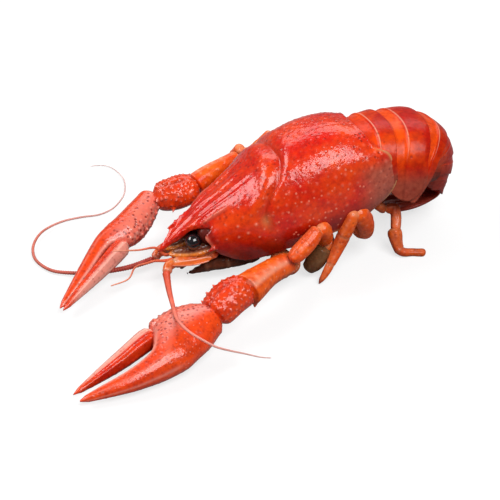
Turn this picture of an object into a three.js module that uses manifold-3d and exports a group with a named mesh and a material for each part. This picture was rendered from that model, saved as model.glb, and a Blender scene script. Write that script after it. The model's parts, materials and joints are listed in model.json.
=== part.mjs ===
// A boiled narrow-clawed crayfish, whole, with its tail curled under it and both claws laid forwards.
// Millimetres. +Z is up, +X runs towards the head, +Y is the animal's left. It lies on the plane z = 0.
import * as THREE from "three";
import { mergeVertices } from "three/addons/utils/BufferGeometryUtils.js";
import Module from "manifold-3d";

const wasm = await Module();
wasm.setup();

// ---------------------------------------------------------------- driving dimensions
const GAP = 0.3; // between neighbouring rings of shell
const CLEARANCE = 0.4; // that a piece keeps from what was placed before it
const MIDDLE_X = 29.22; // middle of the whole animal's box, moved to the origin
const MIDDLE_Y = -0.08;

const TRUNK_PITCH = 14; // degrees, head down
const TRUNK_ROLL = 12; // degrees, leaning on its right side
const TRUNK_TOP = 26; // height of the carapace's rear edge in the trunk's own frame
const TRUNK_LIFT = 32.4; // height of that edge above the ground

const SHELL_REAR = 0;
const SHELL_FRONT = 45.5;
const ROSTRUM_ROOT = 34;
const ROSTRUM_TIP = 58.5;

// ---------------------------------------------------------------- small tools
const { sin, cos, abs, min, max, PI } = Math;
const radians = (degrees) => (degrees * PI) / 180;
const point = (x, y, z) => new THREE.Vector3(x, y, z);
const clamp = (value, low, high) => min(high, max(low, value));
const smooth = (value, low, high) => THREE.MathUtils.smoothstep(value, low, high);
const bell = (distance, width) => Math.exp(-((distance / width) ** 2));
const UP = point(0, 0, 1);

// A smooth curve through stations [position, value], flat outside them.
function through(stations) {
  const last = stations.length - 1;
  const slope = (i) => {
    const before = stations[max(i - 1, 0)];
    const after = stations[min(i + 1, last)];
    return (after[1] - before[1]) / (after[0] - before[0]);
  };
  return (position) => {
    const p = clamp(position, stations[0][0], stations[last][0]);
    let i = 0;
    while (i < last - 1 && p > stations[i + 1][0]) i++;
    const [from, a] = stations[i];
    const [to, b] = stations[i + 1];
    const span = to - from;
    const t = (p - from) / span;
    const t2 = t * t;
    const t3 = t2 * t;
    return (
      a * (2 * t3 - 3 * t2 + 1) +
      b * (3 * t2 - 2 * t3) +
      slope(i) * span * (t3 - 2 * t2 + t) +
      slope(i + 1) * span * (t3 - t2)
    );
  };
}

// A closed three.js geometry as a solid for cutting and joining, faces turned outwards.
function solid(geometry) {
  const bare = geometry.index ? geometry.clone() : geometry;
  for (const name of ["normal", "uv"]) bare.deleteAttribute(name);
  const merged = mergeVertices(bare, 1e-4);
  const place = merged.attributes.position;
  const faces = merged.index.array;
  const corner = [point(), point(), point()];
  let volume = 0;
  for (let i = 0; i < faces.length; i += 3) {
    corner.forEach((c, k) => c.fromBufferAttribute(place, faces[i + k]));
    volume += corner[0].dot(corner[1].clone().cross(corner[2]));
  }
  if (volume < 0) {
    for (let i = 0; i < faces.length; i += 3) {
      [faces[i + 1], faces[i + 2]] = [faces[i + 2], faces[i + 1]];
    }
  }
  const mesh = new wasm.Mesh({
    numProp: 3,
    vertProperties: new Float32Array(place.array),
    triVerts: new Uint32Array(faces),
  });
  return new wasm.Manifold(mesh);
}

// A sphere's grid drawn over a form: shape(turn, along) gives the point for both running from 0 to 1,
// and has to give one point at either end.
function skin(sides, rows, shape) {
  const geometry = new THREE.SphereGeometry(1, sides, rows);
  const place = geometry.attributes.position;
  for (let i = 0; i < place.count; i++) {
    const row = Math.floor(i / (sides + 1));
    const column = i % (sides + 1);
    const pole = row === 0 || row === rows;
    const p = shape(pole ? 0 : (column % sides) / sides, row / rows);
    place.setXYZ(i, p.x, p.y, p.z);
  }
  return solid(geometry);
}

// A limb's piece: a tapering, round-ended form along a curve through points. Radii are stations on 0..1.
// flat squeezes it across the up direction, and grow thickens it all round and at both ends.
function limb(points, radii, { up = UP, flat = 1, sides = 8, rows = 8, cap = 0.12, grow = 0 } = {}) {
  const path = points.length > 2 ? new THREE.CatmullRomCurve3(points) : new THREE.LineCurve3(...points);
  const radius = through(radii);
  return skin(sides, rows, (turn, along) => {
    const t = (1 - cos(PI * along)) / 2;
    const tangent = path.getTangentAt(t);
    const across = tangent.clone().cross(up).normalize();
    const over = across.clone().cross(tangent);
    const end = min(t, 1 - t) / cap;
    const round = end < 1 ? Math.sqrt(max(0, 1 - (1 - end) ** 2)) : 1;
    const r = (radius(t) + 1.5 * grow) * round;
    const angle = 2 * PI * turn;
    return path
      .getPointAt(t)
      .addScaledVector(tangent, 1.5 * grow * (2 * t - 1))
      .addScaledVector(across, r * cos(angle))
      .addScaledVector(over, r * flat * sin(angle));
  });
}

// A long thin strand: evenly spaced rings along its route, tapering from one radius to the other.
function strand(points, from, to, rows) {
  const path = new THREE.CatmullRomCurve3(points);
  const sides = 6;
  return skin(sides, rows, (turn, along) => {
    const tangent = path.getTangentAt(along);
    const across = tangent.clone().cross(UP).normalize();
    const over = across.clone().cross(tangent);
    const r = along === 0 || along === 1 ? 0 : from + (to - from) * along;
    const angle = 2 * PI * turn;
    return path.getPointAt(along).addScaledVector(across, r * cos(angle)).addScaledVector(over, r * sin(angle));
  });
}

// A spine: a small cone standing at a point, leaning along a direction.
function spine(at, direction, height, radius) {
  const cone = new THREE.ConeGeometry(radius, height, 6);
  cone.translate(0, height / 2 - radius * 0.6, 0);
  const turn = new THREE.Quaternion().setFromUnitVectors(point(0, 1, 0), direction.clone().normalize());
  cone.applyQuaternion(turn);
  cone.translate(at.x, at.y, at.z);
  return solid(cone);
}

function ball(centre, radius, sides = 10, rows = 7) {
  const geometry = new THREE.SphereGeometry(radius, sides, rows);
  geometry.translate(centre.x, centre.y, centre.z);
  return solid(geometry);
}

function box(low, high) {
  const size = high.clone().sub(low);
  const geometry = new THREE.BoxGeometry(size.x, size.y, size.z);
  geometry.translate((low.x + high.x) / 2, (low.y + high.y) / 2, (low.z + high.z) / 2);
  return solid(geometry);
}

const underground = box(point(-200, -200, -60), point(200, 200, 0));
const onGround = (body) => body.subtract(underground);
const join = (...bodies) => bodies.reduce((whole, body) => whole.add(body));
const less = (body, ...others) => others.reduce((rest, other) => rest.subtract(other), body);

// The largest of the bodies that a cut has left.
function largest(body) {
  const parts = body.decompose();
  return parts.reduce((best, part) => (part.volume() > best.volume() ? part : best));
}

// ---------------------------------------------------------------- the trunk's own frame
// x runs forwards from the carapace's rear edge, y to the left, z up from the trunk's own base.
const trunkPlace = new THREE.Matrix4()
  .makeTranslation(0, 0, TRUNK_LIFT)
  .multiply(new THREE.Matrix4().makeRotationX(radians(TRUNK_ROLL)))
  .multiply(new THREE.Matrix4().makeRotationY(radians(TRUNK_PITCH)))
  .multiply(new THREE.Matrix4().makeTranslation(0, 0, -TRUNK_TOP));
const trunk = (x, y, z) => point(x, y, z).applyMatrix4(trunkPlace);
const trunkAway = (x, y, z) => point(x, y, z).transformDirection(trunkPlace);

// ---------------------------------------------------------------- carapace
const shellTop = through([
  [0, 26.6], [5, 28.8], [12, 30], [19, 29.5], [25, 28.2], [31, 26.2], [37, 24.2], [42, 22.4], [46, 20.6],
]);
const shellHalfWidth = through([
  [0, 12.9], [6, 14.4], [13, 15.2], [20, 15], [27, 14.1], [33, 12.7], [38, 11], [42, 9.4], [46, 7.6],
]);
const shellWidest = through([[0, 14], [12, 14], [30, 14], [38, 15], [46, 16]]);
const shellMargin = through([[0, 6], [6, 5.2], [14, 5.8], [22, 6.9], [30, 7.4], [38, 8], [42, 9.6], [46, 11.8]]);
// The rear edge, by the angle from the top in degrees: the flanks reach back as lobes.
const rearEdge = through([[0, 0], [40, -1], [55, -1.6], [68, -4.2], [90, -4.7], [110, -3], [128, 0.5], [145, 5]]);
// The cervical groove, by the same angle: it crosses the back and runs forwards down the flanks.
const grooveLine = through([[0, 21.8], [22, 22.2], [44, 25], [52, 27.2], [62, 29.6], [72, 31.2], [84, 31.6]]);
const GROOVE_DEPTH = 0.9;
const GROOVE_WIDTH = 1.5;
const MARGIN_ANGLE = 145;
const OUTER_SHARE = 0.7; // of the way from the back's middle to the belly's middle
const SHELL_WALL = 1.3;
const BELLY_RISE = 1.5; // how far the belly lies inside the margin
const SHELL_SIDES = 34;
const SHELL_ROWS = 24;
const SHELL_MIDDLE_Z = 15;

function shellPoint(turn, along, grow = 0) {
  const rows = SHELL_ROWS;
  const left = turn < 0.5 ? 1 : -1;
  const s = turn < 0.5 ? 2 * turn : 2 * (1 - turn);
  const t = clamp((along * rows - 1) / (rows - 2), 0, 1);
  const station = SHELL_REAR + (SHELL_FRONT - SHELL_REAR) * t;
  const angle = MARGIN_ANGLE * min(s / OUTER_SHARE, 1);
  const x = station + rearEdge(angle) * (1 - smooth(station, 0, 16));
  const widest = shellWidest(station);
  const margin = shellMargin(station);
  const half = shellHalfWidth(station);
  const a = radians(angle);
  const tuck = angle > 90 ? 0.3 * (1 - sin(a)) : 0;
  let y = angle > 90 ? half * (1 - tuck) : half * sin(a) ** 0.8;
  let z = angle > 90 ? widest + ((widest - margin) * cos(a)) / -cos(radians(MARGIN_ANGLE)) : 0;
  if (angle <= 90) z = widest + (shellTop(station) - widest) * cos(a) ** 0.8;
  const groove = GROOVE_DEPTH * bell(x - grooveLine(angle), GROOVE_WIDTH) * (1 - smooth(angle, 78, 92));
  y -= groove * sin(a);
  z -= groove * cos(a);
  if (s > OUTER_SHARE) {
    const inwards = (s - OUTER_SHARE) / (1 - OUTER_SHARE);
    const hollow = grow > 0 ? 0 : 1; // a grown shell only cuts its neighbours, so it is filled below
    y = (y - SHELL_WALL * hollow) * (1 - inwards);
    z += BELLY_RISE * hollow * smooth(inwards, 0, 0.45);
  }
  const stretched = x + grow * (2 * t - 1);
  const end = along * rows < 0.5 || along * rows > rows - 0.5;
  if (end) return trunk(stretched, 0, SHELL_MIDDLE_Z);
  const above = z - SHELL_MIDDLE_Z;
  const wider = 1 + (1.3 * grow) / Math.hypot(y, above);
  return trunk(stretched, left * y * wider, SHELL_MIDDLE_Z + above * wider);
}

// The carapace without its rostrum; grown, it cuts what lies against it.
const shell = (grow = 0) => skin(SHELL_SIDES, SHELL_ROWS, (turn, along) => shellPoint(turn, along, grow));

const rostrumHalfWidth = through([[34, 3], [42, 4.4], [47, 3.9], [51, 3.1], [52.6, 2.8], [54, 1.5], [58.5, 0.35]]);
const rostrumTop = through([[34, 24.6], [42, 22.9], [47, 20.9], [52, 18.7], [55, 17.2], [58.5, 15.4]]);
const rostrumThickness = through([[34, 2.6], [50, 1.9], [58.5, 0.7]]);

// The rostrum: a gutter-shaped blade with raised edges and a keel along its middle.
function rostrumPoint(turn, along) {
  const x = ROSTRUM_ROOT + (ROSTRUM_TIP - ROSTRUM_ROOT) * along;
  const blunt = min(1, min(along * 4, (1 - along) * 12));
  const angle = 2 * PI * turn;
  const across = sin(angle);
  const raised = (0.75 * abs(across) ** 3 + 0.6 * bell(across, 0.22)) * smooth(x, 36, 43);
  const rise = cos(angle) > 0 ? raised : -rostrumThickness(x) * (1 - 0.6 * across * across);
  return trunk(
    x,
    rostrumHalfWidth(x) * across * blunt,
    rostrumTop(x) - 0.6 + rise * blunt * min(1, abs(cos(angle)) * 3),
  );
}

const EYE_X = 49.1;
const EYE_Y = 4.6;
const EYE_Z = 16.05;
const EYE_RADIUS = 1.85;
const SOCKET_RADIUS = 3.3;
const ROSTRUM_TOOTH = { x: 51.4, y: 2.7, z: 18.9, height: 2.2, radius: 0.7 };
const CHEEK_SPINE = { x: 45.2, y: 7.6, z: 13.4, height: 2.4, radius: 0.9 };

function carapace() {
  let whole = shell().add(skin(12, 12, rostrumPoint));
  for (const side of [1, -1]) {
    whole = whole.subtract(ball(trunk(EYE_X - 1, side * (EYE_Y + 1.2), EYE_Z - 0.4), SOCKET_RADIUS));
    const tooth = ROSTRUM_TOOTH;
    const toothBase = trunk(tooth.x, side * tooth.y, tooth.z);
    whole = whole.add(spine(toothBase, trunkAway(1, side * 0.3, -0.25), tooth.height, tooth.radius));
    const cheek = CHEEK_SPINE;
    const cheekBase = trunk(cheek.x, side * cheek.y, cheek.z);
    whole = whole.add(spine(cheekBase, trunkAway(1, side * 0.15, -0.1), cheek.height, cheek.radius));
  }
  return whole;
}

// The sternum: the keel between the legs, from the mouth to the first ring of the tail.
const STERNUM_REAR = 2;
const STERNUM_FRONT = 37;
const sternumHalfWidth = through([[2, 5.5], [10, 8.2], [26, 8.2], [37, 4.6]]);
const sternumRoof = through([[2, 8.4], [8, 8.3], [14, 9], [22, 9.7], [37, 10]]);
const STERNUM_FLOOR = 3.2;

function sternum() {
  const rows = 7;
  return skin(12, rows, (turn, along) => {
    const t = clamp((along * rows - 1) / (rows - 2), 0, 1);
    const x = STERNUM_REAR + (STERNUM_FRONT - STERNUM_REAR) * t;
    const end = along === 0 || along === 1;
    const angle = 2 * PI * turn;
    const middle = (sternumRoof(x) + STERNUM_FLOOR) / 2;
    const half = (sternumRoof(x) - STERNUM_FLOOR) / 2;
    const round = (value) => Math.sign(value) * abs(value) ** 0.6;
    if (end) return trunk(x, 0, middle);
    return trunk(x, sternumHalfWidth(x) * round(sin(angle)), middle + half * round(cos(angle)));
  });
}

// ---------------------------------------------------------------- abdomen
// Its back is a curve in the trunk's middle plane, given by how far the back has turned down at each
// length along it; every ring of shell stands square to that curve, and the tail drifts to the right.
const TAIL_START_X = 1.6;
const TAIL_START_Z = 26.2;
const tailTurn = through([[0, -4], [7, 1], [14, 6], [21, 20], [27, 48], [33.5, 76], [40, 98], [47, 107]]);
const ringHeight = through([[0, 15], [8, 17.5], [14, 19], [22, 19.5], [29, 18], [35, 15.5], [41, 12.8], [47, 9.5]]);
const ringHalfWidth = through([[0, 12], [8, 13.2], [16, 14.2], [24, 13.8], [31, 13.2], [39, 12], [47, 8.8]]);
const tailDrift = through([[0, 0], [14, 0], [24, -0.3], [34, -2.3], [47, -4.3]]);
const SEGMENT_ENDS = [0, 9, 19, 26.4, 33, 40, 47];

// Where the back is after a length s, and how far it has turned down there.
function tailFrame(s) {
  const steps = 40;
  let x = TAIL_START_X;
  let z = TAIL_START_Z;
  for (let i = 0; i < steps; i++) {
    const turn = radians(tailTurn((s * (i + 0.5)) / steps) + TRUNK_PITCH);
    x -= (cos(turn) * s) / steps;
    z -= (sin(turn) * s) / steps;
  }
  return { x, y: tailDrift(s), z, turn: radians(tailTurn(s) + TRUNK_PITCH) };
}

// A point at y to the left and depth below the back, measured along a direction of the given turn.
function tailPoint(frame, y, depth, turn = frame.turn) {
  return trunk(frame.x + sin(turn) * depth, frame.y + y, frame.z - cos(turn) * depth);
}

const SEGMENT_ROWS = 7;
const SEGMENT_SIDES = 22;
const SEGMENT_FLARE = 0.7; // how far each ring widens over the next
const PLEURON_SHARE = 0.66; // of the way from the back's middle to the belly's middle
const SIDE_PARALLEL = 0.6; // how far a ring's sides hang along its middle's direction

function abdomenSegment(index, grow = 0) {
  const from = SEGMENT_ENDS[index] + GAP / 2;
  const to = SEGMENT_ENDS[index + 1] - GAP / 2;
  const middleTurn = tailFrame((from + to) / 2).turn;
  return skin(SEGMENT_SIDES, SEGMENT_ROWS, (turn, along) => {
    const t = clamp((along * SEGMENT_ROWS - 1) / (SEGMENT_ROWS - 2), 0, 1);
    const s = from + (to - from) * t + 1.5 * grow * (2 * t - 1);
    const frame = tailFrame(s);
    const flare = SEGMENT_FLARE * (smooth(t, 0.2, 0.75) - 0.6);
    const height = ringHeight(s);
    const half = ringHalfWidth(s) + flare;
    const top = -flare;
    const end = along < 0.5 / SEGMENT_ROWS || along > 1 - 0.5 / SEGMENT_ROWS;
    if (end) return tailPoint(frame, 0, height * 0.4);
    const left = turn < 0.5 ? 1 : -1;
    const q = turn < 0.5 ? 2 * turn : 2 * (1 - turn);
    const lobe = 0.74 + 0.26 * sin(PI * clamp(t * 0.9 + 0.1, 0, 1)) ** 0.7;
    const angle = radians(125 * min(q / PLEURON_SHARE, 1));
    const belly = height * 0.6;
    let y = half * (angle > PI / 2 ? 1 - 0.14 * (1 - sin(angle)) : sin(angle) ** 0.82);
    let depth = top + belly * (1 - cos(min(angle, PI / 2)) ** 0.82);
    if (angle > PI / 2) depth = top + belly + ((height * lobe - belly) * -cos(angle)) / sin(radians(35));
    if (q > PLEURON_SHARE) {
      const inwards = (q - PLEURON_SHARE) / (1 - PLEURON_SHARE);
      const hollow = grow > 0 ? 0 : 1; // a grown ring only cuts its neighbours, so it is filled below
      y = (y - 1.4 * hollow) * (1 - inwards);
      depth -= hollow * (height * lobe - height * 0.66) * smooth(inwards, 0, 0.5);
    }
    const below = depth - height * 0.45;
    const wider = 1 + (2 * grow) / Math.hypot(y, below);
    const deep = height * 0.45 + below * wider;
    const gathered = SIDE_PARALLEL * smooth(deep / height, 0, 0.8);
    const turned = frame.turn + (middleTurn - frame.turn) * gathered;
    return tailPoint(frame, left * y * wider, deep, turned);
  });
}

// ---------------------------------------------------------------- tail fan, folded forwards under the body
// It lies as a slanting plane with its right edge on the ground: across runs to the left in that plane.
const FAN_Y = -4;
const FAN_Z = 2.7;
const FAN_REAR = -22.5;
const FAN_TIP = -9;
const FAN_ROLL = radians(14);
const fanUp = point(0, -sin(FAN_ROLL), cos(FAN_ROLL));
const fan = (x, across, up) =>
  point(x, FAN_Y + across * cos(FAN_ROLL), FAN_Z + across * sin(FAN_ROLL)).addScaledVector(fanUp, up);

function telson(grow = 0) {
  const route = [fan(FAN_REAR, 0, 1.6), fan(-17, 0, 1.2), fan(FAN_TIP, 0, 0.4)];
  return limb(route, [[0, 4], [0.5, 4.2], [1, 3]], { up: fanUp, flat: 0.3, sides: 10, rows: 6, cap: 0.2, grow });
}

function uropod(side, outer, grow = 0) {
  const low = outer ? -0.9 : -0.1;
  const route = [
    fan(FAN_REAR + 1, side * (outer ? 4.6 : 2.4), low + 0.9),
    fan(-16, side * (outer ? 6.5 : 3.3), low + 0.3),
    fan(FAN_TIP - (outer ? 2 : 0.5), side * (outer ? 6 : 3), low),
  ];
  return limb(route, [[0, 1.8], [0.5, 3], [1, 2.4]], { up: fanUp, flat: 0.28, rows: 6, cap: 0.25, grow });
}

// ---------------------------------------------------------------- head appendages
const leftOf = (side, x, y, z) => trunk(x, side * y, z);

// The long antenna's base: thick joints beside the mouth, the last of them bent towards the strand.
const ANTENNA_ELBOW = { left: point(51.6, 10, 7.6), right: point(51.4, 1.4, 5.4) };
const ANTENNA_ROOT = { left: point(53.6, 12.8, 7.2), right: point(54, 2.4, 4.2) };

const antennaBase = (side, name, grow = 0) =>
  limb(
    [leftOf(side, 44, 5.2, 9.6), leftOf(side, 50, 5, 10.6), ANTENNA_ELBOW[name], ANTENNA_ROOT[name]],
    [[0, 1.8], [0.35, 2], [0.7, 1.7], [1, 1.3]],
    { rows: 9, cap: 0.15, grow },
  );

const antennalScale = (side, grow = 0) =>
  limb(
    [leftOf(side, 46, 7.4, 11.6), leftOf(side, 51.5, 6.8, 12.6), leftOf(side, 57.2, 4.4, 14.2)],
    [[0, 1.2], [0.4, 1.9], [0.8, 1.3], [1, 0.4]],
    { flat: 0.36, rows: 6, cap: 0.15, grow },
  );

const maxilliped = (side, grow = 0) =>
  limb(
    [leftOf(side, 36, 3.6, 3.6), leftOf(side, 44, 3.4, 4.8), leftOf(side, 53, 2, 7)],
    [[0, 1.5], [0.6, 1.3], [0.9, 0.8], [1, 0.3]],
    { rows: 6, cap: 0.1, grow },
  );

const ANTENNULE_ROOT_Z = 12.6;
const antennules = [
  [leftOf(1, 51, 1.9, ANTENNULE_ROOT_Z), leftOf(1, 57, 2.4, 13), point(55, 6.8, 8.4), point(60.6, 8.9, 8), point(68, 11.9, 6.6)],
  [leftOf(-1, 51, 1.9, ANTENNULE_ROOT_Z), leftOf(-1, 56, 0.6, 13), point(54, 5, 9.8), point(59, 5.8, 11), point(65.2, 5, 11.8)],
];

// The long antennae, by hand-set points on the ground, over the left claw and under the right one.
const leftAntennaRoute = [
  point(53.8, 13.2, 7.1), point(55, 18.8, 7.2), point(56.5, 26.5, 8.8), point(57.9, 33.7, 10.9), point(58, 38.1, 12.1),
  point(57.1, 42.1, 12.6), point(55, 45.3, 12.2), point(52.4, 46.7, 10.6), point(48.8, 46.3, 8),
  point(44.6, 45.4, 5), point(40.7, 45.2, 2.6), point(37.5, 44.8, 1),
];
const rightAntennaRoute = [
  point(54.4, 2.2, 4), point(60, 2.6, 3.6), point(65.5, 1.7, 3), point(68.2, -0.1, 1.7), point(73.3, -2.8, 1.1),
  point(78.5, -5.8, 1.1), point(81.2, -10.9, 1.1), point(80.9, -16.1, 1), point(78.7, -20.5, 1), point(75.5, -23.4, 1),
  point(70.5, -25.3, 0.9), point(65.3, -25.4, 0.9), point(60.5, -25, 0.8), point(56.5, -26.3, 0.8),
  point(53.1, -29.4, 0.8), point(50.9, -33.1, 0.7), point(49.7, -38.3, 0.7), point(50.5, -43, 0.7),
  point(52.2, -46.1, 0.6), point(54.7, -47.3, 0.6), point(56.9, -47.4, 0.6),
];
const ANTENNA_ROOT_RADIUS = 0.95;
const ANTENNA_TIP_RADIUS = 0.4;

// ---------------------------------------------------------------- claws
// A claw lies along a line from its wrist to its tips. Its own frame: t along that line, w across it
// on the ground, h above it. Widths, thicknesses and middles are stations along t.
function clawFrame(wrist, tips, turned) {
  const along = tips.clone().sub(wrist).normalize();
  const across = UP.clone().cross(along).normalize();
  across.applyAxisAngle(along, radians(turned));
  const over = along.clone().cross(across);
  return (t, w, h) =>
    wrist.clone().addScaledVector(along, t).addScaledVector(across, w).addScaledVector(over, h);
}

// A form along a claw's line, from its own stations.
function clawForm(place, { from, to, middle, halfWidth, halfThick, lift }, sides, rows, grow) {
  const [mid, wide, thick] = [through(middle), through(halfWidth), through(halfThick)];
  const raise = through(lift || [[from, 0], [to, 0]]);
  return skin(sides, rows, (turn, along) => {
    const even = (1 - cos(PI * along)) / 2;
    const spread = 0.5 * along + 0.5 * even;
    const t = from - grow + (to - from + 2 * grow) * spread;
    const end = along === 0 || along === 1 ? 0 : 1;
    const near = min(t - from + grow, to - t + grow);
    const round = end * min(1, Math.sqrt(max(0.02, near) / 2.2));
    const angle = 2 * PI * turn;
    return place(
      t,
      mid(t) + (wide(t) + grow) * round * sin(angle),
      raise(t) + (thick(t) + grow) * round * cos(angle),
    );
  });
}

const CLAWS = {
  left: {
    place: clawFrame(point(47.2, 31.8, 6), point(85.5, 43.3, 2), 0),
    hand: {
      from: -1.2, to: 40.6,
      middle: [[0, 0], [2.5, -1.2], [6, -1.3], [11, -0.7], [14, 0.8], [18.5, 3.9], [22.5, 4.5], [29, 4], [40.6, 1.4]],
      halfWidth: [[0, 3.4], [2.5, 5.8], [6, 7.8], [11, 8.6], [14, 7.8], [18.5, 4.4], [22.5, 3.3], [29, 2.3], [40.6, 0.6]],
      halfThick: [[0, 3.6], [3, 4.3], [8, 4.8], [14, 4.7], [20, 3.7], [28, 2.4], [40.6, 0.6]],
    },
    finger: {
      from: 14, to: 40.6,
      middle: [[14, -5.2], [17, -5.2], [20.5, -4.5], [25, -3.6], [33, -2.4], [40.6, -1.4]],
      halfWidth: [[14, 2], [17, 2.3], [24.5, 2.1], [29, 1.7], [33, 1.2], [40.6, 0.4]],
      halfThick: [[14, 2.4], [18, 2.6], [24.5, 2.2], [33, 1.4], [40.6, 0.4]],
    },
  },
  right: {
    place: clawFrame(point(48.2, -16.2, 9), point(80.7, 12.4, 2.6), -10),
    hand: {
      from: -1.5, to: 43.6,
      middle: [[0, -0.5], [8, -0.3], [14, -0.6], [18, -2], [21, -3.1], [31, -2.3], [43.6, -1]],
      halfWidth: [[0, 3], [6, 4], [14, 4.5], [18, 3.4], [21, 2], [31, 1.3], [43.6, 0.4]],
      halfThick: [[0, 3.2], [8, 3.9], [15, 3.8], [21, 2.9], [31, 2], [43.6, 0.5]],
    },
    finger: {
      from: 16.4, to: 43.8,
      middle: [[16.4, 1.9], [21, 1.7], [26, 1.4], [34, 0.8], [43.8, 0.1]],
      halfWidth: [[16.4, 2.1], [20, 2.3], [26, 2], [34, 1.4], [43.8, 0.4]],
      halfThick: [[16.4, 2.6], [21, 2.6], [31, 1.9], [43.8, 0.5]],
    },
  },
};

const hand = (claw, grow = 0) => clawForm(claw.place, claw.hand, 14, 16, grow);
const finger = (claw, grow = 0) => clawForm(claw.place, claw.finger, 8, 12, grow);

// Arms: the stretch from the body to the elbow, and the wrist between elbow and claw.
const ARMS = {
  left: {
    hip: trunk(31, 7.6, 4.4),
    shoulder: point(23.4, 19.2, 7.4),
    elbow: point(38, 27.5, 8.6),
    wrist: [point(38.4, 27.7, 8.6), point(43, 30, 8.2), point(47.4, 31.6, 6.6)],
    wristRadii: [[0, 4.4], [0.3, 5.5], [0.7, 5.4], [1, 4.4]],
    armRadii: [[0, 2.5], [0.4, 3.2], [0.8, 4.5], [1, 4.4]],
    spines: [[46.2, 26.4, 8.6, 0.8, -0.6, 0], [41.8, 34.6, 6.6, 0.5, 0.9, 0]],
  },
  right: {
    hip: trunk(31, -7.6, 4),
    shoulder: point(22.6, -20.6, 12.4),
    elbow: point(36.4, -16, 10.8),
    wrist: [point(36.4, -15.9, 10.8), point(42.4, -14.4, 10.6), point(48, -16, 9.4)],
    wristRadii: [[0, 3.6], [0.3, 4.6], [0.7, 4.5], [1, 3.4]],
    armRadii: [[0, 2.3], [0.4, 2.7], [0.8, 3.3], [1, 3.2]],
    spines: [[47, -13.4, 7.6, 0.6, 0.8, -0.3], [43.8, -12.2, 6.8, 0.3, 1, -0.4]],
  },
};

function arm(side, grow = 0) {
  const { hip, shoulder, elbow, armRadii } = ARMS[side];
  const bend = shoulder.clone().lerp(hip, 0.25).add(point(-0.6, 0, -1.2));
  const ischium = limb([hip, bend, shoulder], [[0, 1.8], [1, armRadii[0][1]]], { rows: 5, grow });
  const merus = limb([shoulder, elbow], armRadii, { flat: 0.9, sides: 12, rows: 8, cap: 0.14, grow });
  return ischium.add(merus);
}

function wrist(side, grow = 0) {
  const { wrist: route, wristRadii, spines } = ARMS[side];
  const block = limb(route, wristRadii, { flat: 0.84, sides: 12, rows: 8, cap: 0.3, grow });
  if (grow > 0) return block;
  const thorns = spines.map(([x, y, z, dx, dy, dz]) => spine(point(x, y, z), point(dx, dy, dz), 2.6, 0.9));
  return join(block, ...thorns);
}

// ---------------------------------------------------------------- walking legs
// Each has its points from the body outwards: hip, low bend and knee, then the points of its lower stretch.
const LEGS = [
  {
    name: "left_1",
    upper: [trunk(22, 8.6, 4.6), point(12.4, 16.2, 9.4), point(13.6, 18.2, 13.6), point(15.4, 19.4, 16.8)],
    lower: [point(15.8, 19.8, 16.6), point(19.4, 21.2, 13.8), point(24.4, 22.9, 11)],
    upperRadius: 2, lowerRadii: [[0, 1.6], [0.5, 2.3], [1, 2.5]],
  },
  {
    name: "left_2",
    upper: [trunk(17, 8.6, 4.4), point(11.2, 14.8, 6.6), point(12.6, 16.9, 8.6)],
    lower: [point(13.2, 17.2, 8.4), point(15, 17.4, 5), point(17.4, 17, 1.4)],
    upperRadius: 1.8, lowerRadii: [[0, 1.8], [0.6, 1.9], [1, 1.3]],
  },
  {
    name: "left_3",
    upper: [trunk(9, 8.6, 4.4), point(-0.9, 12.9, 5.4), point(1.4, 14.4, 11), point(4.2, 15.6, 16.8)],
    lower: [point(4.8, 15.9, 16.6), point(7.2, 17.2, 12.4), point(10, 18.6, 7.8), point(14, 21, 3), point(16.2, 21.6, 0.3)],
    upperRadius: 2.5, lowerRadii: [[0, 1.6], [0.3, 1.9], [0.65, 1.8], [0.85, 1.4], [1, 0.4]],
  },
  {
    name: "left_4",
    upper: [trunk(1.6, 6.8, 4.4), point(-6.6, 9.6, 9.6), point(-9.2, 10.6, 9.4), point(-7.6, 15.1, 5.6)],
    lower: [point(-7.4, 14.8, 5.6), point(-8.2, 17.6, 1.6), point(-11.6, 18.6, 0.9), point(-14.4, 19.6, 0.8)],
    upperRadius: 1.4, lowerRadii: [[0, 2], [0.35, 1.5], [0.7, 0.9], [1, 1.1]],
  },
  {
    name: "right_1",
    upper: [trunk(23, -8.6, 3.2), point(15, -14.4, 2.6), point(16, -20.6, 7), point(19.2, -25.9, 12)],
    lower: [point(19.6, -26.6, 11.8), point(21.6, -29.2, 7), point(24, -31.6, 0.4)],
    upperRadius: 1.6, lowerRadii: [[0, 1.7], [0.3, 1.5], [0.8, 1], [1, 0.4]],
  },
  {
    name: "right_2",
    upper: [trunk(17, -8.6, 3), point(7.6, -14.6, 2.6), point(7, -21.6, 7.4), point(9.4, -28.2, 13)],
    lower: [point(9.9, -28.8, 12.8), point(15, -30, 8), point(20.4, -35, 0.4)],
    upperRadius: 1.6, lowerRadii: [[0, 1.7], [0.3, 1.5], [0.8, 1], [1, 0.4]],
  },
  {
    name: "right_3",
    upper: [trunk(10, -8.6, 3), point(-0.6, -14, 2.8), point(-2.4, -20, 6.6), point(-2.6, -25.6, 10.4)],
    lower: [point(-2.6, -26.2, 10.2), point(-2.2, -30.4, 6), point(-3, -34.4, 0.4)],
    upperRadius: 1.6, lowerRadii: [[0, 1.6], [0.3, 1.4], [0.8, 0.9], [1, 0.4]],
  },
  {
    name: "right_4",
    upper: [trunk(3.4, -7.6, 3.4), point(-6, -12.4, 3.4), point(-9, -17.6, 5.6), point(-11.4, -22, 8.2)],
    lower: [point(-11.6, -22.5, 8), point(-14.6, -25.6, 4.6), point(-18.6, -28, 0.4)],
    upperRadius: 1.4, lowerRadii: [[0, 1.4], [0.3, 1.2], [0.8, 0.8], [1, 0.4]],
  },
];

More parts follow.
